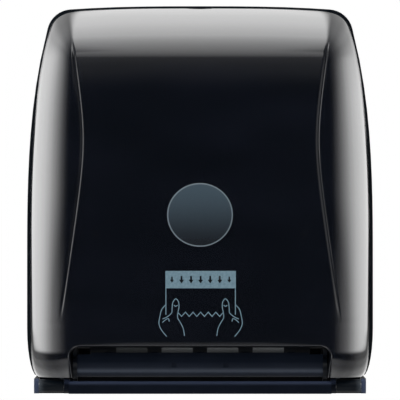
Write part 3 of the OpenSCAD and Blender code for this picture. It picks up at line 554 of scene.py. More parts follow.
# %% [markdown]
# The flange behind the edge of the mouth isn't polished. The halves of the mould close there and leave it
# satin, so it stays dark where a polished one would mirror the room behind.

# %% Satin flange
flange_satin = moulded(
    "flange_satin", tone(10, 13, 18), tone(14, 17, 23), 0.6, 1600.0, depth=0.04, shine=0.12
)
print("flange finish:", flange_satin.name)

# %% [markdown]
# ## Cover
# The cover is one skin: widest low down, narrower and rounder at the shoulders, with a deep front that
# turns in at the foot and a domed top. Its width, depth and rounding are functions of the height, the same
# that shaped the solid. A subdivided block could come close, but it wouldn't keep the mouth, the grooves
# and the rim line where they are, so the skin is a grid computed from those functions. It is finer than the
# solid's facets, so that reflections run smoothly.

# %% Outline of the cover
HALF_W, RIM_SHOW, WALL = 166, 2.2, 3
COVER_D, COVER_REAR = 220.2, 18.3
COVER_TOP, COVER_FOOT = 366.8, 15.3
TURN_Z, CROWN_Z, CORNER_Z = 38.7, 316.8, 342
BELLY_Z, BELLY_FALL = 190, 9
SHOULDER_Z, SHOULDER_IN = 120, 18.3
FOOT_Z, FOOT_H, FOOT_IN = 60, 46, 10
FOLD_TOP, FOLD_H, FOLD_SLOPE, FOOT_CURVE = 41.2, 7.4, 0.3, 0.0105
CORNER_R, CORNER_FROM, TOP_ARCH = 24, math.radians(14), 3
GAP_AT_FOOT, GAP_RISE = 0.3, 40
GAP_LOSS, GAP_THINS, GAP_WIDENS = 0.5, (230, 310), (356, 365)


def rise(value, start, end):
    """0 before start, 1 after end and smooth between them."""
    share = min(1.0, max(0.0, (value - start) / (end - start)))
    return share * share * (3 - 2 * share)


def rim_half(z):
    """Half width of the back plate's rim at a height."""
    shoulder = SHOULDER_IN * ((z - SHOULDER_Z) / (CORNER_Z - SHOULDER_Z)) ** 3 if z > SHOULDER_Z else 0
    foot = FOOT_IN * (1 - math.sqrt(max(0, 1 - ((FOOT_Z - z) / FOOT_H) ** 2))) if z < FOOT_Z else 0
    return HALF_W - shoulder - foot


TOP_HALF = rim_half(CORNER_Z + CORNER_R * math.sin(CORNER_FROM)) - CORNER_R * math.cos(CORNER_FROM)


def foot_draw(u):
    """How far the foot draws in below its upper edge: a soft fold and then a curve."""
    if u < FOLD_H:
        return FOLD_SLOPE * max(0, u) ** 2 / (2 * FOLD_H)
    return FOLD_SLOPE * (u - FOLD_H / 2) + FOOT_CURVE * (u - FOLD_H) ** 2


def belly(z):
    """Depth of the cover along its middle, up to the crown."""
    return COVER_D - BELLY_FALL * ((z - BELLY_Z) / (BELLY_Z - TURN_Z)) ** 2 - foot_draw(FOLD_TOP - z)


def rim_gap(z):
    """Width of rim that shows beside the cover: less at the foot and round the shoulders."""
    foot = GAP_AT_FOOT + (1 - GAP_AT_FOOT) * rise(z, COVER_FOOT, COVER_FOOT + GAP_RISE)
    shoulder = rise(z, *GAP_THINS) * (1 - rise(z, *GAP_WIDENS))
    return RIM_SHOW * foot * (1 - GAP_LOSS * shoulder)


print("top half width:", round(TOP_HALF, 1))

# %% [markdown]
# A level of the skin is a row. Up to the crown a row lies at a height, and over the dome at an angle.
# Across, the front is a shallow arch, the edge a quarter of an ellipse, and the side runs straight to the
# rim.

# %% One row of the cover
DOME_POWER, CROWN_LEAN = 2.3, 0.15
ROUND_X, ROUND_Y, ROUND_LEAST, ROUND_LOSS = 36, 84, 10, 0.68
SIDE_DRAFT, PLAN_CROWN = 4, 4
CROWN_SHARE, ROUND_SHARE = 0.08, 0.7


class Row:
    """One level of the skin, at a height or at an angle over the dome, moved in by some thickness."""

    def __init__(self, inset, z=None, dome=None):
        self.inset = inset
        if dome is None:
            self.z, self.depth, self.drop = z, belly(z) - inset, 0
        else:
            top, run = COVER_TOP - inset - CROWN_Z, belly(CROWN_Z) - inset - COVER_REAR
            self.z = CROWN_Z + top * math.sin(dome) ** (2 / DOME_POWER)
            self.depth = COVER_REAR + run * max(0, math.cos(dome)) ** (2 / DOME_POWER)
            up = (self.z - CROWN_Z) / top
            self.depth -= CROWN_LEAN * top * up * (1 - up) ** 2
            self.drop = rise(up, 0, 1)
        level = self.z - TOP_ARCH * self.drop
        gap = rim_gap(level)
        bend = CORNER_R - gap - inset
        if level <= CORNER_Z + bend * math.sin(CORNER_FROM):
            self.half = rim_half(level) - gap - inset
        else:
            self.half = TOP_HALF + math.sqrt(max(0, bend**2 - (level - CORNER_Z) ** 2))
        lost = ROUND_LOSS * (HALF_W - RIM_SHOW - inset - self.half)
        self.round = max(ROUND_LEAST, ROUND_X - lost) - inset
        self.front = self.half - self.round - SIDE_DRAFT

    def depth_at(self, x):
        """Depth of the front and of the rounded edge at a distance from the middle."""
        space = self.depth - COVER_REAR
        crown = min(PLAN_CROWN, CROWN_SHARE * space)
        deep = min(ROUND_Y * (self.round + self.inset) / ROUND_X - self.inset, ROUND_SHARE * space)
        turn = math.asin(min(1, max(0, (x - self.front) / self.round)))
        return self.depth - crown * (x / self.front) ** 2 - deep * (1 - math.cos(turn))

    def height_at(self, x):
        return self.z - TOP_ARCH * self.drop * abs(x / TOP_HALF) ** 3


print("cover half width at the belly:", round(Row(0, z=SHOULDER_Z).half, 1))

# %% [markdown]
# Two shallow grooves sweep down the shoulders on a hyperbola and fade out at both ends. The mouth is a
# notch with round upper corners and slightly slanted sides. Columns of the grid follow the groove and the
# notch, so no cut is needed and the edge of the mouth can get its own small bevel and a return flange
# behind it.

# %% Columns of the cover
GROOVE_X, GROOVE_Z, GROOVE_FLARE, GROOVE_BEND = 105.1, 239.5, 0.155, 34.8
GROOVE_DEEP, GROOVE_STARTS, GROOVE_ENDS = 0.8, (68, 86), (306, 340)
EASY_SIDE, STEEP_SIDE = (-2.6, 0.3), (0.5, 1.8)
GROOVE_STEPS = [-2.6, -2.1, -1.6, -1.1, -0.6, -0.1, 0.3, 0.5, 0.7, 0.9, 1.1, 1.3, 1.5, 1.8, 2.2]
MOUTH_HALF, MOUTH_TOP, MOUTH_R, MOUTH_SLANT = 123, 45.1, 9.5, 2.8
MOUTH_BEND = MOUTH_TOP - MOUTH_R
SLANT_H = MOUTH_BEND - COVER_FOOT + 4
COLUMN_ROOM, RIM_ROOM, SPREAD, EDGE_ROOM = 6, 12, 3, 3
MID_STEPS, PANEL_STEPS, ROUND_STEPS, SIDE_STEPS = 14, 4, 24, 8


def groove_at(z):
    """Distance of the groove from the middle: a hyperbola that comes closest at one height."""
    return GROOVE_X + math.sqrt((GROOVE_FLARE * (z - GROOVE_Z)) ** 2 + GROOVE_BEND)


def groove_fade(z):
    return rise(z, *GROOVE_STARTS) * (1 - rise(z, *GROOVE_ENDS))


def groove_cut(u):
    """Share of the groove's depth, to the right of its middle: an easy slope, then a steep wall."""
    return rise(u, *EASY_SIDE) * (1 - rise(u, *STEEP_SIDE))


def mouth_side(z):
    """Half width of the mouth below its round corners."""
    return MOUTH_HALF - MOUTH_SLANT * (MOUTH_BEND - z) / SLANT_H


def columns(row, edge, side):
    """One half of a row from the middle outwards, as distance and depth. edge is kept for the mouth."""
    near_front = row.front + COLUMN_ROOM + SPREAD * max(0, row.z - GROOVE_STARTS[0])
    limit = min(groove_at(row.z), row.half - RIM_ROOM, near_front)
    edge = edge if row.z < MOUTH_TOP + EDGE_ROOM else min(edge, limit - COLUMN_ROOM)
    groove = max(limit, edge + COLUMN_ROOM)
    first, last = groove + GROOVE_STEPS[0], groove + GROOVE_STEPS[-1]
    end = row.front + row.round
    xs = [edge * i / MID_STEPS for i in range(MID_STEPS)]
    xs += [edge + (first - edge) * i / PANEL_STEPS for i in range(PANEL_STEPS)]
    xs += [groove + step for step in GROOVE_STEPS]
    xs += [last + (end - last) * math.sin(math.pi / 2 * i / ROUND_STEPS) for i in range(1, ROUND_STEPS + 1)]
    cut = GROOVE_DEEP * groove_fade(row.z) if row.inset == 0 else 0
    half = [(x, row.depth_at(x) - cut * groove_cut(side * (x - groove))) for x in xs]
    edge_depth = half[-1][1]
    for i in range(1, SIDE_STEPS + 1):
        f = i / SIDE_STEPS
        half.append((end + (row.half - end) * f, edge_depth + (COVER_REAR - edge_depth) * f))
    return half


print("columns on each side:", len(columns(Row(0, z=GROOVE_Z), MOUTH_HALF, 1)) - 1)

# %% [markdown]
# The rows climb from the foot to the top: close together along the legs and round the corners of the mouth,
# where the edge needs them, wider apart up the plain front, and close again over the dome.

# %% Rows of the cover
LEG_STEPS, BEND_STEPS, LOW_STEPS, BODY_STEPS, DOME_STEPS = 22, 12, 12, 30, 34
LOW_Z = 92
DOME_CROWDING = 1.25


def cover_rows(inset, grow):
    """Rows of one face from the foot to the top, each with its mouth edge. grow keeps it off the mouth."""
    made = []
    for i in range(LEG_STEPS):
        z = COVER_FOOT + (MOUTH_BEND - COVER_FOOT) * i / LEG_STEPS
        made.append((Row(inset, z=z), mouth_side(z) + grow))
    corner_x, reach = MOUTH_HALF - MOUTH_R, MOUTH_R + grow
    for i in range(BEND_STEPS + 1):
        a = math.pi / 2 * i / BEND_STEPS
        made.append((Row(inset, z=MOUTH_BEND + reach * math.sin(a)), corner_x + reach * math.cos(a)))
    base = MOUTH_TOP + grow
    heights = [base + (LOW_Z - base) * i / LOW_STEPS for i in range(1, LOW_STEPS + 1)]
    heights += [LOW_Z + (CROWN_Z - LOW_Z) * i / BODY_STEPS for i in range(1, BODY_STEPS + 1)]
    made += [(Row(inset, z=z), corner_x) for z in heights]
    turns = [math.pi / 2 * (i / DOME_STEPS) ** DOME_CROWDING for i in range(1, DOME_STEPS + 1)]
    made += [(Row(inset, dome=turn), corner_x) for turn in turns]
    return made


def face_grid(inset, grow):
    """Points of one face of the cover, row by row from left to right."""
    grid = []
    for row, edge in cover_rows(inset, grow):
        left, right = columns(row, edge, -1), columns(row, edge, 1)
        line = [(-x, d) for x, d in reversed(left[1:])] + right
        grid.append([spot(x, d, row.height_at(x)) for x, d in line])
    return grid


print("rows:", len(cover_rows(0, 0)))

# %% [markdown]
# The outer and the inner face are two such grids. A bevelled lip runs round the mouth between them and
# carries a flange that stiffens the real cover. The foot, the two rear edges and the top are closed with
# plain strips, so the piece is a watertight shell.

# %% Build the cover
BEVEL, FLANGE_DEPTH, FLANGE_T, FLANGE_DRAFT = 0.9, 197.2, 2.0, 1.3


def finish_mesh(name, points, faces, body, slot, material, sharp=40, second=None, second_from=0):
    """A piece from points and faces: normals turned outwards, smooth but for its sharp edges, riding on a
    body. Faces from a number on can take a second finish."""
    mesh = bpy.data.meshes.new(name)
    mesh.from_pydata([tuple(p) for p in points], [], faces)
    if second:
        mesh.polygons.foreach_set("material_index", [int(i >= second_from) for i in range(len(faces))])
    bm = bmesh.new()
    bm.from_mesh(mesh)
    bmesh.ops.remove_doubles(bm, verts=bm.verts, dist=1e-6)
    bmesh.ops.dissolve_degenerate(bm, edges=bm.edges, dist=1e-7)
    bmesh.ops.recalc_face_normals(bm, faces=bm.faces)
    bm.to_mesh(mesh)
    bm.free()
    mesh.polygons.foreach_set("use_smooth", [True] * len(mesh.polygons))
    mesh.set_sharp_from_angle(angle=math.radians(sharp))
    for finish in (material, second):
        if finish:
            mesh.materials.append(finish)
    piece = bpy.data.objects.new(name, mesh)
    scene.collection.objects.link(piece)
    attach(piece, body)
    return piece


def strip(first, second):
    """Quads between two runs of point numbers."""
    return [(first[i], first[i + 1], second[i + 1], second[i]) for i in range(len(first) - 1)]


outer, inner = face_grid(0, BEVEL), face_grid(WALL, FLANGE_T)
wide, tall = len(outer[0]), len(outer)
middle, mouth_row = wide // 2, LEG_STEPS + BEND_STEPS
points = [p for grid in (outer, inner) for line in grid for p in line]


def at(face, i, j):
    return face * wide * tall + i * wide + j


def in_mouth(i, j):
    return i < mouth_row and middle - MID_STEPS <= j < middle + MID_STEPS


faces = []
for face in (0, 1):
    for i in range(tall - 1):
        for j in range(wide - 1):
            if not in_mouth(i, j):
                corners = ((i, j), (i, j + 1), (i + 1, j + 1), (i + 1, j))
                faces.append(tuple(at(face, *corner) for corner in corners))
foot_left = [(0, j) for j in range(middle - MID_STEPS + 1)]
foot_right = [(0, j) for j in range(middle + MID_STEPS, wide)]
top_edge = [(tall - 1, j) for j in range(wide)]
rear_left, rear_right = [[(i, j) for i in range(tall)] for j in (0, wide - 1)]
for run in (foot_left, foot_right, top_edge, rear_left, rear_right):
    faces += strip([at(0, *p) for p in run], [at(1, *p) for p in run])
print("cover faces:", len(faces))

# %% [markdown]
# The lip is a few rings of points round the mouth. Three small steps make the bevel, which catches the thin
# pale line along the edge. The next ring goes back to the flange, and the last one returns on its other
# side.

# %% Lip of the mouth
# How far a ring lies outside the mouth's edge and below the skin. None stands for the depth of the flange.
LIP_RINGS = [(0.45, 0.1), (0.15, 0.35), (0, 0.8), (0, None), (FLANGE_T, None)]
BEVEL_RINGS = sum(sink is not None for grow, sink in LIP_RINGS)

lip_run = [(i, middle + MID_STEPS) for i in range(mouth_row)]
lip_run += [(mouth_row, j) for j in range(middle + MID_STEPS, middle - MID_STEPS - 1, -1)]
lip_run += [(i, middle - MID_STEPS) for i in range(mouth_row - 1, -1, -1)]


def lip_place(i, j):
    """Where a point of the run sits on the mouth's true edge, and the way out from the opening."""
    side = 1 if j > middle else -1
    corner_x = MOUTH_HALF - MOUTH_R
    if i < LEG_STEPS:
        z = COVER_FOOT + (MOUTH_BEND - COVER_FOOT) * i / LEG_STEPS
        return (side * mouth_side(z), z), (side, 0)
    if i < mouth_row or abs(j - middle) == MID_STEPS:
        a = math.pi / 2 * (i - LEG_STEPS) / BEND_STEPS
        out = (side * math.cos(a), math.sin(a))
        return (side * corner_x + MOUTH_R * out[0], MOUTH_BEND + MOUTH_R * out[1]), out
    return (corner_x * (j - middle) / MID_STEPS, MOUTH_TOP), (0, 1)


rings = [[at(0, *p) for p in lip_run]]
for grow, sink in LIP_RINGS:
    ring = []
    for i, j in lip_run:
        (x, z), out = lip_place(i, j)
        drop = FLANGE_DRAFT if sink is None else 0
        x, z = x + (grow - drop) * out[0], z + (grow - drop) * out[1]
        depth = Row(0, z=max(z, COVER_FOOT)).depth_at(abs(x))
        depth = min(FLANGE_DEPTH, depth - WALL) if sink is None else depth - sink
        ring.append(len(points))
        points.append(spot(x, depth, z))
    rings.append(ring)
rings.append([at(1, *p) for p in lip_run])
for number, ring in enumerate(rings[1:]):
    if number == BEVEL_RINGS:
        flange_from = len(faces)
    faces += strip(rings[number], ring)
faces += [tuple(ring[end] for ring in rings) for end in (0, -1)]
cover = finish_mesh("smoked_cover", points, faces, "cover", "smoke", smoke, 32, flange_satin, flange_from)
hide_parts("front_cover")
print("cover points:", len(cover.data.vertices))

# %% [markdown]
# The key lock sits in a round hole on top of the cover, sunk in a short boss so that nothing stands up. The
# hole is cut with a Boolean, which is the quick way through a curved skin, and the boss is a small lathed
# ring under it.

# %% Seat of the lock
LOCK_DEPTH, HOLE_R, BARREL_R, BOSS_R = 70, 11.25, 7.7, 13.5
SEAT_Z, BOSS_Z = 363.4, 357.8
BOSS_BREAK, BORE_BREAK = 0.6, 0.4
DRILL_LENGTH = 30
TURN_STEPS = 64


def lathe(profile, depth):
    """Points and faces of a ring turned about an upright axis, from a profile of radius and height."""
    points, faces, n = [], [], len(profile)
    for i in range(TURN_STEPS):
        a = 2 * math.pi * i / TURN_STEPS
        points += [spot(r * math.cos(a), depth + r * math.sin(a), z) for r, z in profile]
        nxt = (i + 1) % TURN_STEPS
        faces += [(i * n + k, nxt * n + k, nxt * n + (k + 1) % n, i * n + (k + 1) % n) for k in range(n)]
    return points, faces


drill = bmesh.new()
drill_size = {"radius1": HOLE_R * MM, "radius2": HOLE_R * MM, "depth": DRILL_LENGTH * MM}
bmesh.ops.create_cone(drill, cap_ends=True, segments=TURN_STEPS, **drill_size)
bmesh.ops.translate(drill, verts=drill.verts, vec=spot(0, LOCK_DEPTH, COVER_TOP))
drill_mesh = bpy.data.meshes.new("drill")
drill.to_mesh(drill_mesh)
drill.free()
drill_piece = bpy.data.objects.new("drill", drill_mesh)
scene.collection.objects.link(drill_piece)
hole = cover.modifiers.new("lock_hole", "BOOLEAN")
hole.operation, hole.solver, hole.object = "DIFFERENCE", "EXACT", drill_piece
bpy.context.view_layer.update()
bored = bpy.data.meshes.new_from_object(cover.evaluated_get(bpy.context.evaluated_depsgraph_get()))
cover.modifiers.clear()
cover.data = bored
bpy.data.objects.remove(drill_piece)
boss = [
    (BARREL_R, BOSS_Z), (BOSS_R - BOSS_BREAK, BOSS_Z), (BOSS_R, BOSS_Z + BOSS_BREAK),
    (BOSS_R, SEAT_Z), (BARREL_R + BORE_BREAK, SEAT_Z), (BARREL_R, SEAT_Z - BORE_BREAK),
]
finish_mesh("lock_boss", *lathe(boss, LOCK_DEPTH), "cover", "smoke", smoke)
print("cover points with the hole:", len(bored.vertices))

# %% [markdown]
# Behind each leg a block on the inside of the cover takes the two screws of the hinge plate. It is a box
# with broken edges, moulded in one with the cover.

# %% Blocks for the hinge screws
BLOCK_X, BLOCK_DEPTH, BLOCK_Z = (132.4, 150.2), (154, 166.4), (25, 45.5)
BLOCK_BREAK = 0.9
BOX_SIDES = ((0, 1, 3, 2), (4, 5, 7, 6), (0, 1, 5, 4), (2, 3, 7, 6), (0, 2, 6, 4), (1, 3, 7, 5))

blocks = []
for side, name in ((-1, "hinge_block_left"), (1, "hinge_block_right")):
    bm = bmesh.new()
    corners = [bm.verts.new(spot(side * x, d, z)) for z in BLOCK_Z for d in BLOCK_DEPTH for x in BLOCK_X]
    for loop in BOX_SIDES:
        bm.faces.new([corners[i] for i in loop])
    bmesh.ops.bevel(bm, geom=bm.edges[:], offset=BLOCK_BREAK * MM, segments=3, affect="EDGES", profile=0.5)
    shape = bpy.data.meshes.new(name)
    bm.to_mesh(shape)
    bm.free()
    points = [v.co for v in shape.vertices]
    faces = [tuple(f.vertices) for f in shape.polygons]
    blocks.append(finish_mesh(name, points, faces, "cover", "smoke", smoke))
print("hinge blocks:", len(blocks))

# %% [markdown]
# ## Badge
# In the middle of the front sits an oval lens of clear plastic over a printed back with a thin pale ring
# round it. The back is painted paler towards the top, a painted reflection of the light above. At this size
# a glossy coat over the tones looks the same as clear plastic.

# %% Badge finish
BADGE_Z, BADGE_HALF_W, BADGE_HALF_H = 169, 31, 30
SHEEN_SPAN = (-1.15, 1.1)

badge_print, bench = new_finish("badge_print")
place = bench.node("ShaderNodeTexCoord", out="Object")
split = bench.node("ShaderNodeSeparateXYZ", sockets={0: place})
up = (split.other("Z") - spot(0, 0, BADGE_Z).z) / (BADGE_HALF_H * MM)
over = split / (BADGE_HALF_W * MM)
edge = (over * over + up * up) ** 0.5
grain = speckle_of(bench, 700.0)
# Painted reflection: the back is painted paler towards the top.
painted_sheen = (up + grain.swing(0.12)).fade(*SHEEN_SPAN).between(tone(29, 32, 37), tone(66, 80, 90))
cover_with(
    bench,
    {
        "Base Color": edge.fade(0.955, 0.965).between(painted_sheen, tone(104, 116, 124)),
        "Roughness": 0.08 + edge.fade(0.95, 0.97) * 0.2 + grain.swing(0.03),
        "Coat Weight": 0.5,
        "Coat Roughness": 0.04,
    },
)
print("badge finish:", badge_print.name)

# %% [markdown]
# The lens follows the skin of the cover and swells a little towards its middle. A squashed ball would cut
# into the curved front, so the lens is made of rings that each lie at their own height over the skin.

# %% Badge lens
BADGE_RINGS, BADGE_STEPS = 16, 96
LENS_RIM = [(1.0, -0.8), (1.0, 0.1), (0.985, 0.26)]
LENS_EDGE, LENS_SWELL = 0.3, 0.5


def skin_depth(x, z):
    """Depth of the outer face of the cover below its dome."""
    return Row(0, z=z).depth_at(abs(x))


points, faces = [], []
shares = [i / BADGE_RINGS for i in range(BADGE_RINGS - 1, 0, -1)]
lens_rings = LENS_RIM + [(share, LENS_EDGE + LENS_SWELL * (1 - share**2)) for share in shares]
for share, lift in lens_rings:
    for i in range(BADGE_STEPS):
        a = 2 * math.pi * i / BADGE_STEPS
        x, z = BADGE_HALF_W * share * math.cos(a), BADGE_Z + BADGE_HALF_H * share * math.sin(a)
        points.append(spot(x, skin_depth(x, z) + lift, z))
for k in range(len(lens_rings) - 1):
    for i in range(BADGE_STEPS):
        a, b = k * BADGE_STEPS + i, k * BADGE_STEPS + (i + 1) % BADGE_STEPS
        faces.append((a, b, b + BADGE_STEPS, a + BADGE_STEPS))
points.append(spot(0, skin_depth(0, BADGE_Z) + LENS_EDGE + LENS_SWELL, BADGE_Z))
last = (len(lens_rings) - 1) * BADGE_STEPS
faces += [(last + i, last + (i + 1) % BADGE_STEPS, len(points) - 1) for i in range(BADGE_STEPS)]
faces.append(tuple(range(BADGE_STEPS)))
badge = finish_mesh("oval_badge", points, faces, "cover", "badge", badge_print)
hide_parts("badge_lens")
print("badge points:", len(badge.data.vertices))

# %% [markdown]
# ## Printed notice
# Below the badge a pale blue screen print shows what to do: a bar with arrows, a sheet hanging from it, two
# hands and the torn edge. The ink is nearly matt and a little uneven.


# %% Ink
def printed(name, colour, gloss):
    """Screen ink: a blotted colour, given as a function of the blot, and a gloss that follows it."""
    material, bench = new_finish(name)
    blot = speckle_of(bench, 500.0, 3.0)
    roughness = gloss + blot.swing(0.2)
    cover_with(bench, {"Base Color": colour(blot), "Roughness": roughness, "Specular IOR Level": 0.3})
    return material


ink = printed("notice_ink", lambda blot: mottled(blot, tone(98, 124, 137), tone(112, 138, 151)), 0.35)
dark_ink = printed("notice_dark", lambda blot: blot.between(tone(10, 13, 18), tone(16, 19, 25)), 0.3)
print("inks:", ink.name, dark_ink.name)

# %% [markdown]
# Ink lies on the skin as a film, so each line is a ribbon of next to no thickness that follows the curve of
# the front. A picture on the skin would need an image file. Ribbons stay sharp at any distance.

# %% Ribbons on the skin
INK_STEP = 2.0
FILM, FILM_ROOT = 0.1, -0.2


def curve_through(corners, steps=6):
    """A soft line through some points."""
    line = []
    for i in range(len(corners) - 1):
        a, b, c, d = (Vector(corners[max(0, min(len(corners) - 1, i + k))]) for k in (-1, 0, 1, 2))
        square, cube = 2 * a - 5 * b + 4 * c - d, 3 * b - a - 3 * c + d
        for t in (k / steps for k in range(steps)):
            line.append(0.5 * (2 * b + (c - a) * t + square * t**2 + cube * t**3))
    return line + [Vector(corners[-1])]


def straight(corners):
    """A line with sharp corners, cut into short steps."""
    line = []
    for a, b in zip(corners, corners[1:]):
        a, b = Vector(a), Vector(b)
        count = max(1, round((b - a).length / INK_STEP))
        line += [a + (b - a) * i / count for i in range(count)]
    return line + [Vector(corners[-1])]


def ribbon(points, faces, line, widths, lift=FILM):
    """Adds a thin closed ribbon along a line of (x, z), with one width or one for each point."""
    start = len(points)
    for i, p in enumerate(line):
        before = (p - line[i - 1]).normalized() if i else None
        after = (line[i + 1] - p).normalized() if i + 1 < len(line) else None
        along = ((before or after) + (after or before)).normalized()
        half = (widths[i] if isinstance(widths, list) else widths) / 2
        half = half / max(0.5, along.dot(after or before))
        out = Vector((-along.y, along.x)) * max(half, 0.01)
        for at_side, up in ((out, lift), (-out, lift), (-out, FILM_ROOT), (out, FILM_ROOT)):
            x, z = p + at_side
            points.append(spot(x, skin_depth(x, z) + up, z))
    for i in range(len(line) - 1):
        a, b = start + 4 * i, start + 4 * i + 4
        faces += [(a + k, a + (k + 1) % 4, b + (k + 1) % 4, b + k) for k in range(4)]
    end = start + 4 * (len(line) - 1)
    faces += [(start + 3, start + 2, start + 1, start), (end, end + 1, end + 2, end + 3)]


print("ribbon step in mm:", INK_STEP)

# %% [markdown]
# The drawing is given as a few points for one hand, and the other hand is its mirror image. The arrows lie
# on the bar, so they are a second film over the first.

# %% Draw the notice
NOTICE_X, BAR_HALF, BAR_LOW, BAR_HIGH = 0.6, 33.2, 99.9, 116.3
LINE_W, SHEET_LOW, SHEET_IN = 0.85, 75, 0.5
TEETH, TEAR_HALF, TEAR_HIGH, TEAR_LOW = 6, 21.5, 77.4, 73.4
THUMB = [
    (27, 77), (26.8, 82), (26, 87), (23.3, 90), (20.8, 87), (20.4, 82), (21.4, 77), (21.6, 72),
    (19, 67.5), (16.4, 62), (15.2, 55),
]
PALM = [(32.7, 84.5), (36.6, 80), (38.4, 73), (39.2, 66.5), (36.8, 60.5), (32, 54.5)]
FOLDS = [
    [(27, 77), (29.6, 74.4), (33, 72.2), (36, 71)],
    [(29.6, 68.6), (30.4, 71.4), (33.4, 70), (36, 67.6)],
    [(25.2, 84), (23.4, 83), (21.6, 84)],
]

points, faces = [], []
bar_z = (BAR_LOW + BAR_HIGH) / 2
bar = straight([(NOTICE_X - BAR_HALF, bar_z), (NOTICE_X + BAR_HALF, bar_z)])
ribbon(points, faces, bar, BAR_HIGH - BAR_LOW)
for side in (-1, 1):
    edge_x = NOTICE_X + side * (BAR_HALF - SHEET_IN)
    ribbon(points, faces, straight([(edge_x, BAR_LOW), (edge_x, SHEET_LOW)]), LINE_W)
    for stroke in (THUMB, PALM, *FOLDS):
        line = [Vector((NOTICE_X + side * x, z)) for x, z in curve_through(stroke)]
        ribbon(points, faces, line, LINE_W)
tear = []
for i in range(2 * TEETH + 1):
    tear.append((NOTICE_X + TEAR_HALF * (i / TEETH - 1), TEAR_LOW if i % 2 else TEAR_HIGH))
ribbon(points, faces, straight(tear), LINE_W)
notice = finish_mesh("notice_print", points, faces, "cover", "badge", ink)
print("notice points:", len(notice.data.vertices))

# %% Arrows on the bar
ARROWS, ARROW_PITCH, END_SIZE = 7, 9, 0.8
ARROW_HEIGHTS = (3.4, 0.2, -0.2, -3.6)
SHAFT_W, HEAD_W, POINT_W = 1.7, 4.6, 0.02
OVER_FILM = 0.16

points, faces = [], []
for i in range(ARROWS):
    place = i - ARROWS // 2
    size = END_SIZE if abs(place) == ARROWS // 2 else 1.0
    line = [Vector((NOTICE_X + place * ARROW_PITCH, bar_z + dz * size)) for dz in ARROW_HEIGHTS]
    ribbon(points, faces, line[:2], SHAFT_W * size, OVER_FILM)
    ribbon(points, faces, line[2:], [HEAD_W * size, POINT_W], OVER_FILM)
    ribbon(points, faces, line[1:3], SHAFT_W * size, OVER_FILM)
arrows = finish_mesh("notice_arrows", points, faces, "cover", "badge", dark_ink)
print("arrow points:", len(arrows.data.vertices))

# %% [markdown]
# ## Spring
# A coil spring on the left frame pulls the crank of the drum past its dead points. It is drawn wire, so the
# piece is a round section swept along the coil and the two hooks.

# %% Coil spring
SPRING_X, SPRING_Z, COIL_R, WIRE_R, COIL_TURNS = -126.9, 68, 4, 0.6, 14
CRANK_DEPTH, POST_DEPTH, HOOK_R, END_GAP = 129, 62, 4.2, 11
CRANK_HOOK_FROM, POST_HOOK_FROM = 30, 210
HOOK_POINTS, HOOK_STEP = 31, 10
WIRE_SIDES, COIL_STEPS = 10, 26


def hook(depth, first):
    """Most of a circle round a post, from an angle in degrees on."""
    angles = [math.radians(first + HOOK_STEP * i) for i in range(HOOK_POINTS)]
    return [spot(SPRING_X, depth - HOOK_R * math.cos(a), SPRING_Z + HOOK_R * math.sin(a)) for a in angles]


path = hook(CRANK_DEPTH, CRANK_HOOK_FROM)
for i in range(COIL_STEPS * COIL_TURNS + 1):
    f = i / (COIL_STEPS * COIL_TURNS)
    a = 2 * math.pi * COIL_TURNS * f
    depth = CRANK_DEPTH - END_GAP + (POST_DEPTH - CRANK_DEPTH + 2 * END_GAP) * f
    path.append(spot(SPRING_X + COIL_R * math.sin(a), depth, SPRING_Z - COIL_R * math.cos(a)))
path += hook(POST_DEPTH, POST_HOOK_FROM)
points, faces = [], []
across_wire = Vector((1, 0, 0))
for i, p in enumerate(path):
    along = (path[min(i + 1, len(path) - 1)] - path[max(i - 1, 0)]).normalized()
    across_wire = (across_wire - along * across_wire.dot(along)).normalized()
    beside = along.cross(across_wire)
    for k in range(WIRE_SIDES):
        a = 2 * math.pi * k / WIRE_SIDES
        points.append(p + (across_wire * math.cos(a) + beside * math.sin(a)) * WIRE_R * MM)
for i in range(len(path) - 1):
    a, b = i * WIRE_SIDES, (i + 1) * WIRE_SIDES
    faces += [(a + k, a + (k + 1) % WIRE_SIDES, b + (k + 1) % WIRE_SIDES, b + k) for k in range(WIRE_SIDES)]
faces += [tuple(range(WIRE_SIDES)), tuple(range(len(points) - WIRE_SIDES, len(points)))]
spring = finish_mesh("coil_spring", points, faces, "chassis", "steel", steel)
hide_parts("return_spring")
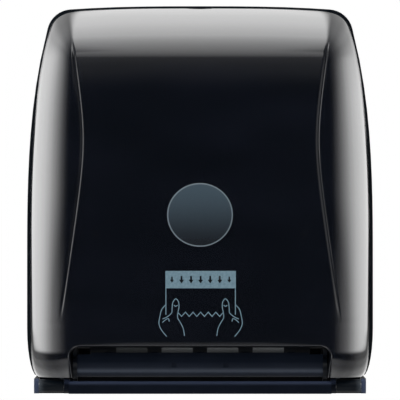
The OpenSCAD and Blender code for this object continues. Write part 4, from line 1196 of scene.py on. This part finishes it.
print("spring points:", len(spring.data.vertices))

# %% [markdown]
# ## Solids that stay
# Most pieces are plain turned, cut or moulded shapes, and their solids are right as they are. Each one gets
# the finish of its real material, apart from the painted highlights on the base, the hinges and the lip and
# the painted shade on the first grip band. The base and the hinges are kept out of mirror reflections,
# because their black ears would show as a notch in the feet of the cover.

# %% Finish the carried solids
FINISHES = {
    # The base, the hinges and the lip carry painted highlights.
    base_black: ["base_tray"],
    chassis_black: ["back_plate", "arm_bracket_left", "arm_bracket_right", "catch_bracket",
                    "roll_arm_left", "roll_arm_right"],
    hinge_black: ["hinge_bracket_left", "hinge_bracket_right"],
    lip_black: ["delivery_lip"],
    inner_black: ["side_frame_left", "side_frame_right", "stripper_comb", "rear_guide", "front_guard",
                  "spring_cover", "drum_shell_front", "drum_shell_rear", "drum_end_left", "drum_end_right",
                  "knife_clamp", "pinch_yoke"],
    # The first grip band gets the darker copy of the rubber: painted shade.
    painted_shade_rubber: ["grip_band_1"],
    grip_rubber: ["grip_band_2", "grip_band_3", "grip_band_4", "pinch_tyres", "feed_wheel"],
    grey_plastic: ["core_hub_left", "core_hub_right"],
    gear_white: ["drum_bush_left", "drum_bush_right", "sun_gear", "planet_gear", "crank_disc"],
    steel: ["return_spring", "arm_pins", "hinge_pins", "frame_screws", "hinge_screws", "hook_screw",
            "drum_stub_left", "drum_stub_right", "knife_shaft", "knife_blade", "clamp_screws",
            "pinch_shaft", "hub_axle_left", "hub_axle_right"],
    lock_metal: ["lock_body", "lock_nut", "lock_plug", "lock_hook"],
    badge_print: ["badge_lens"],
    smoke: ["front_cover"],
}
NOT_MIRRORED = ("base_tray", "hinge_bracket_left", "hinge_bracket_right", "hinge_pins", "hinge_screws")

for material, names in FINISHES.items():
    for name in names:
        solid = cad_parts[name]
        for holder in solid.material_slots:
            holder.material = material
        if not solid.material_slots:
            solid.data.materials.append(material)
for name in NOT_MIRRORED:
    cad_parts[name].visible_glossy = False
print("solids with a finish:", sum(len(names) for names in FINISHES.values()))
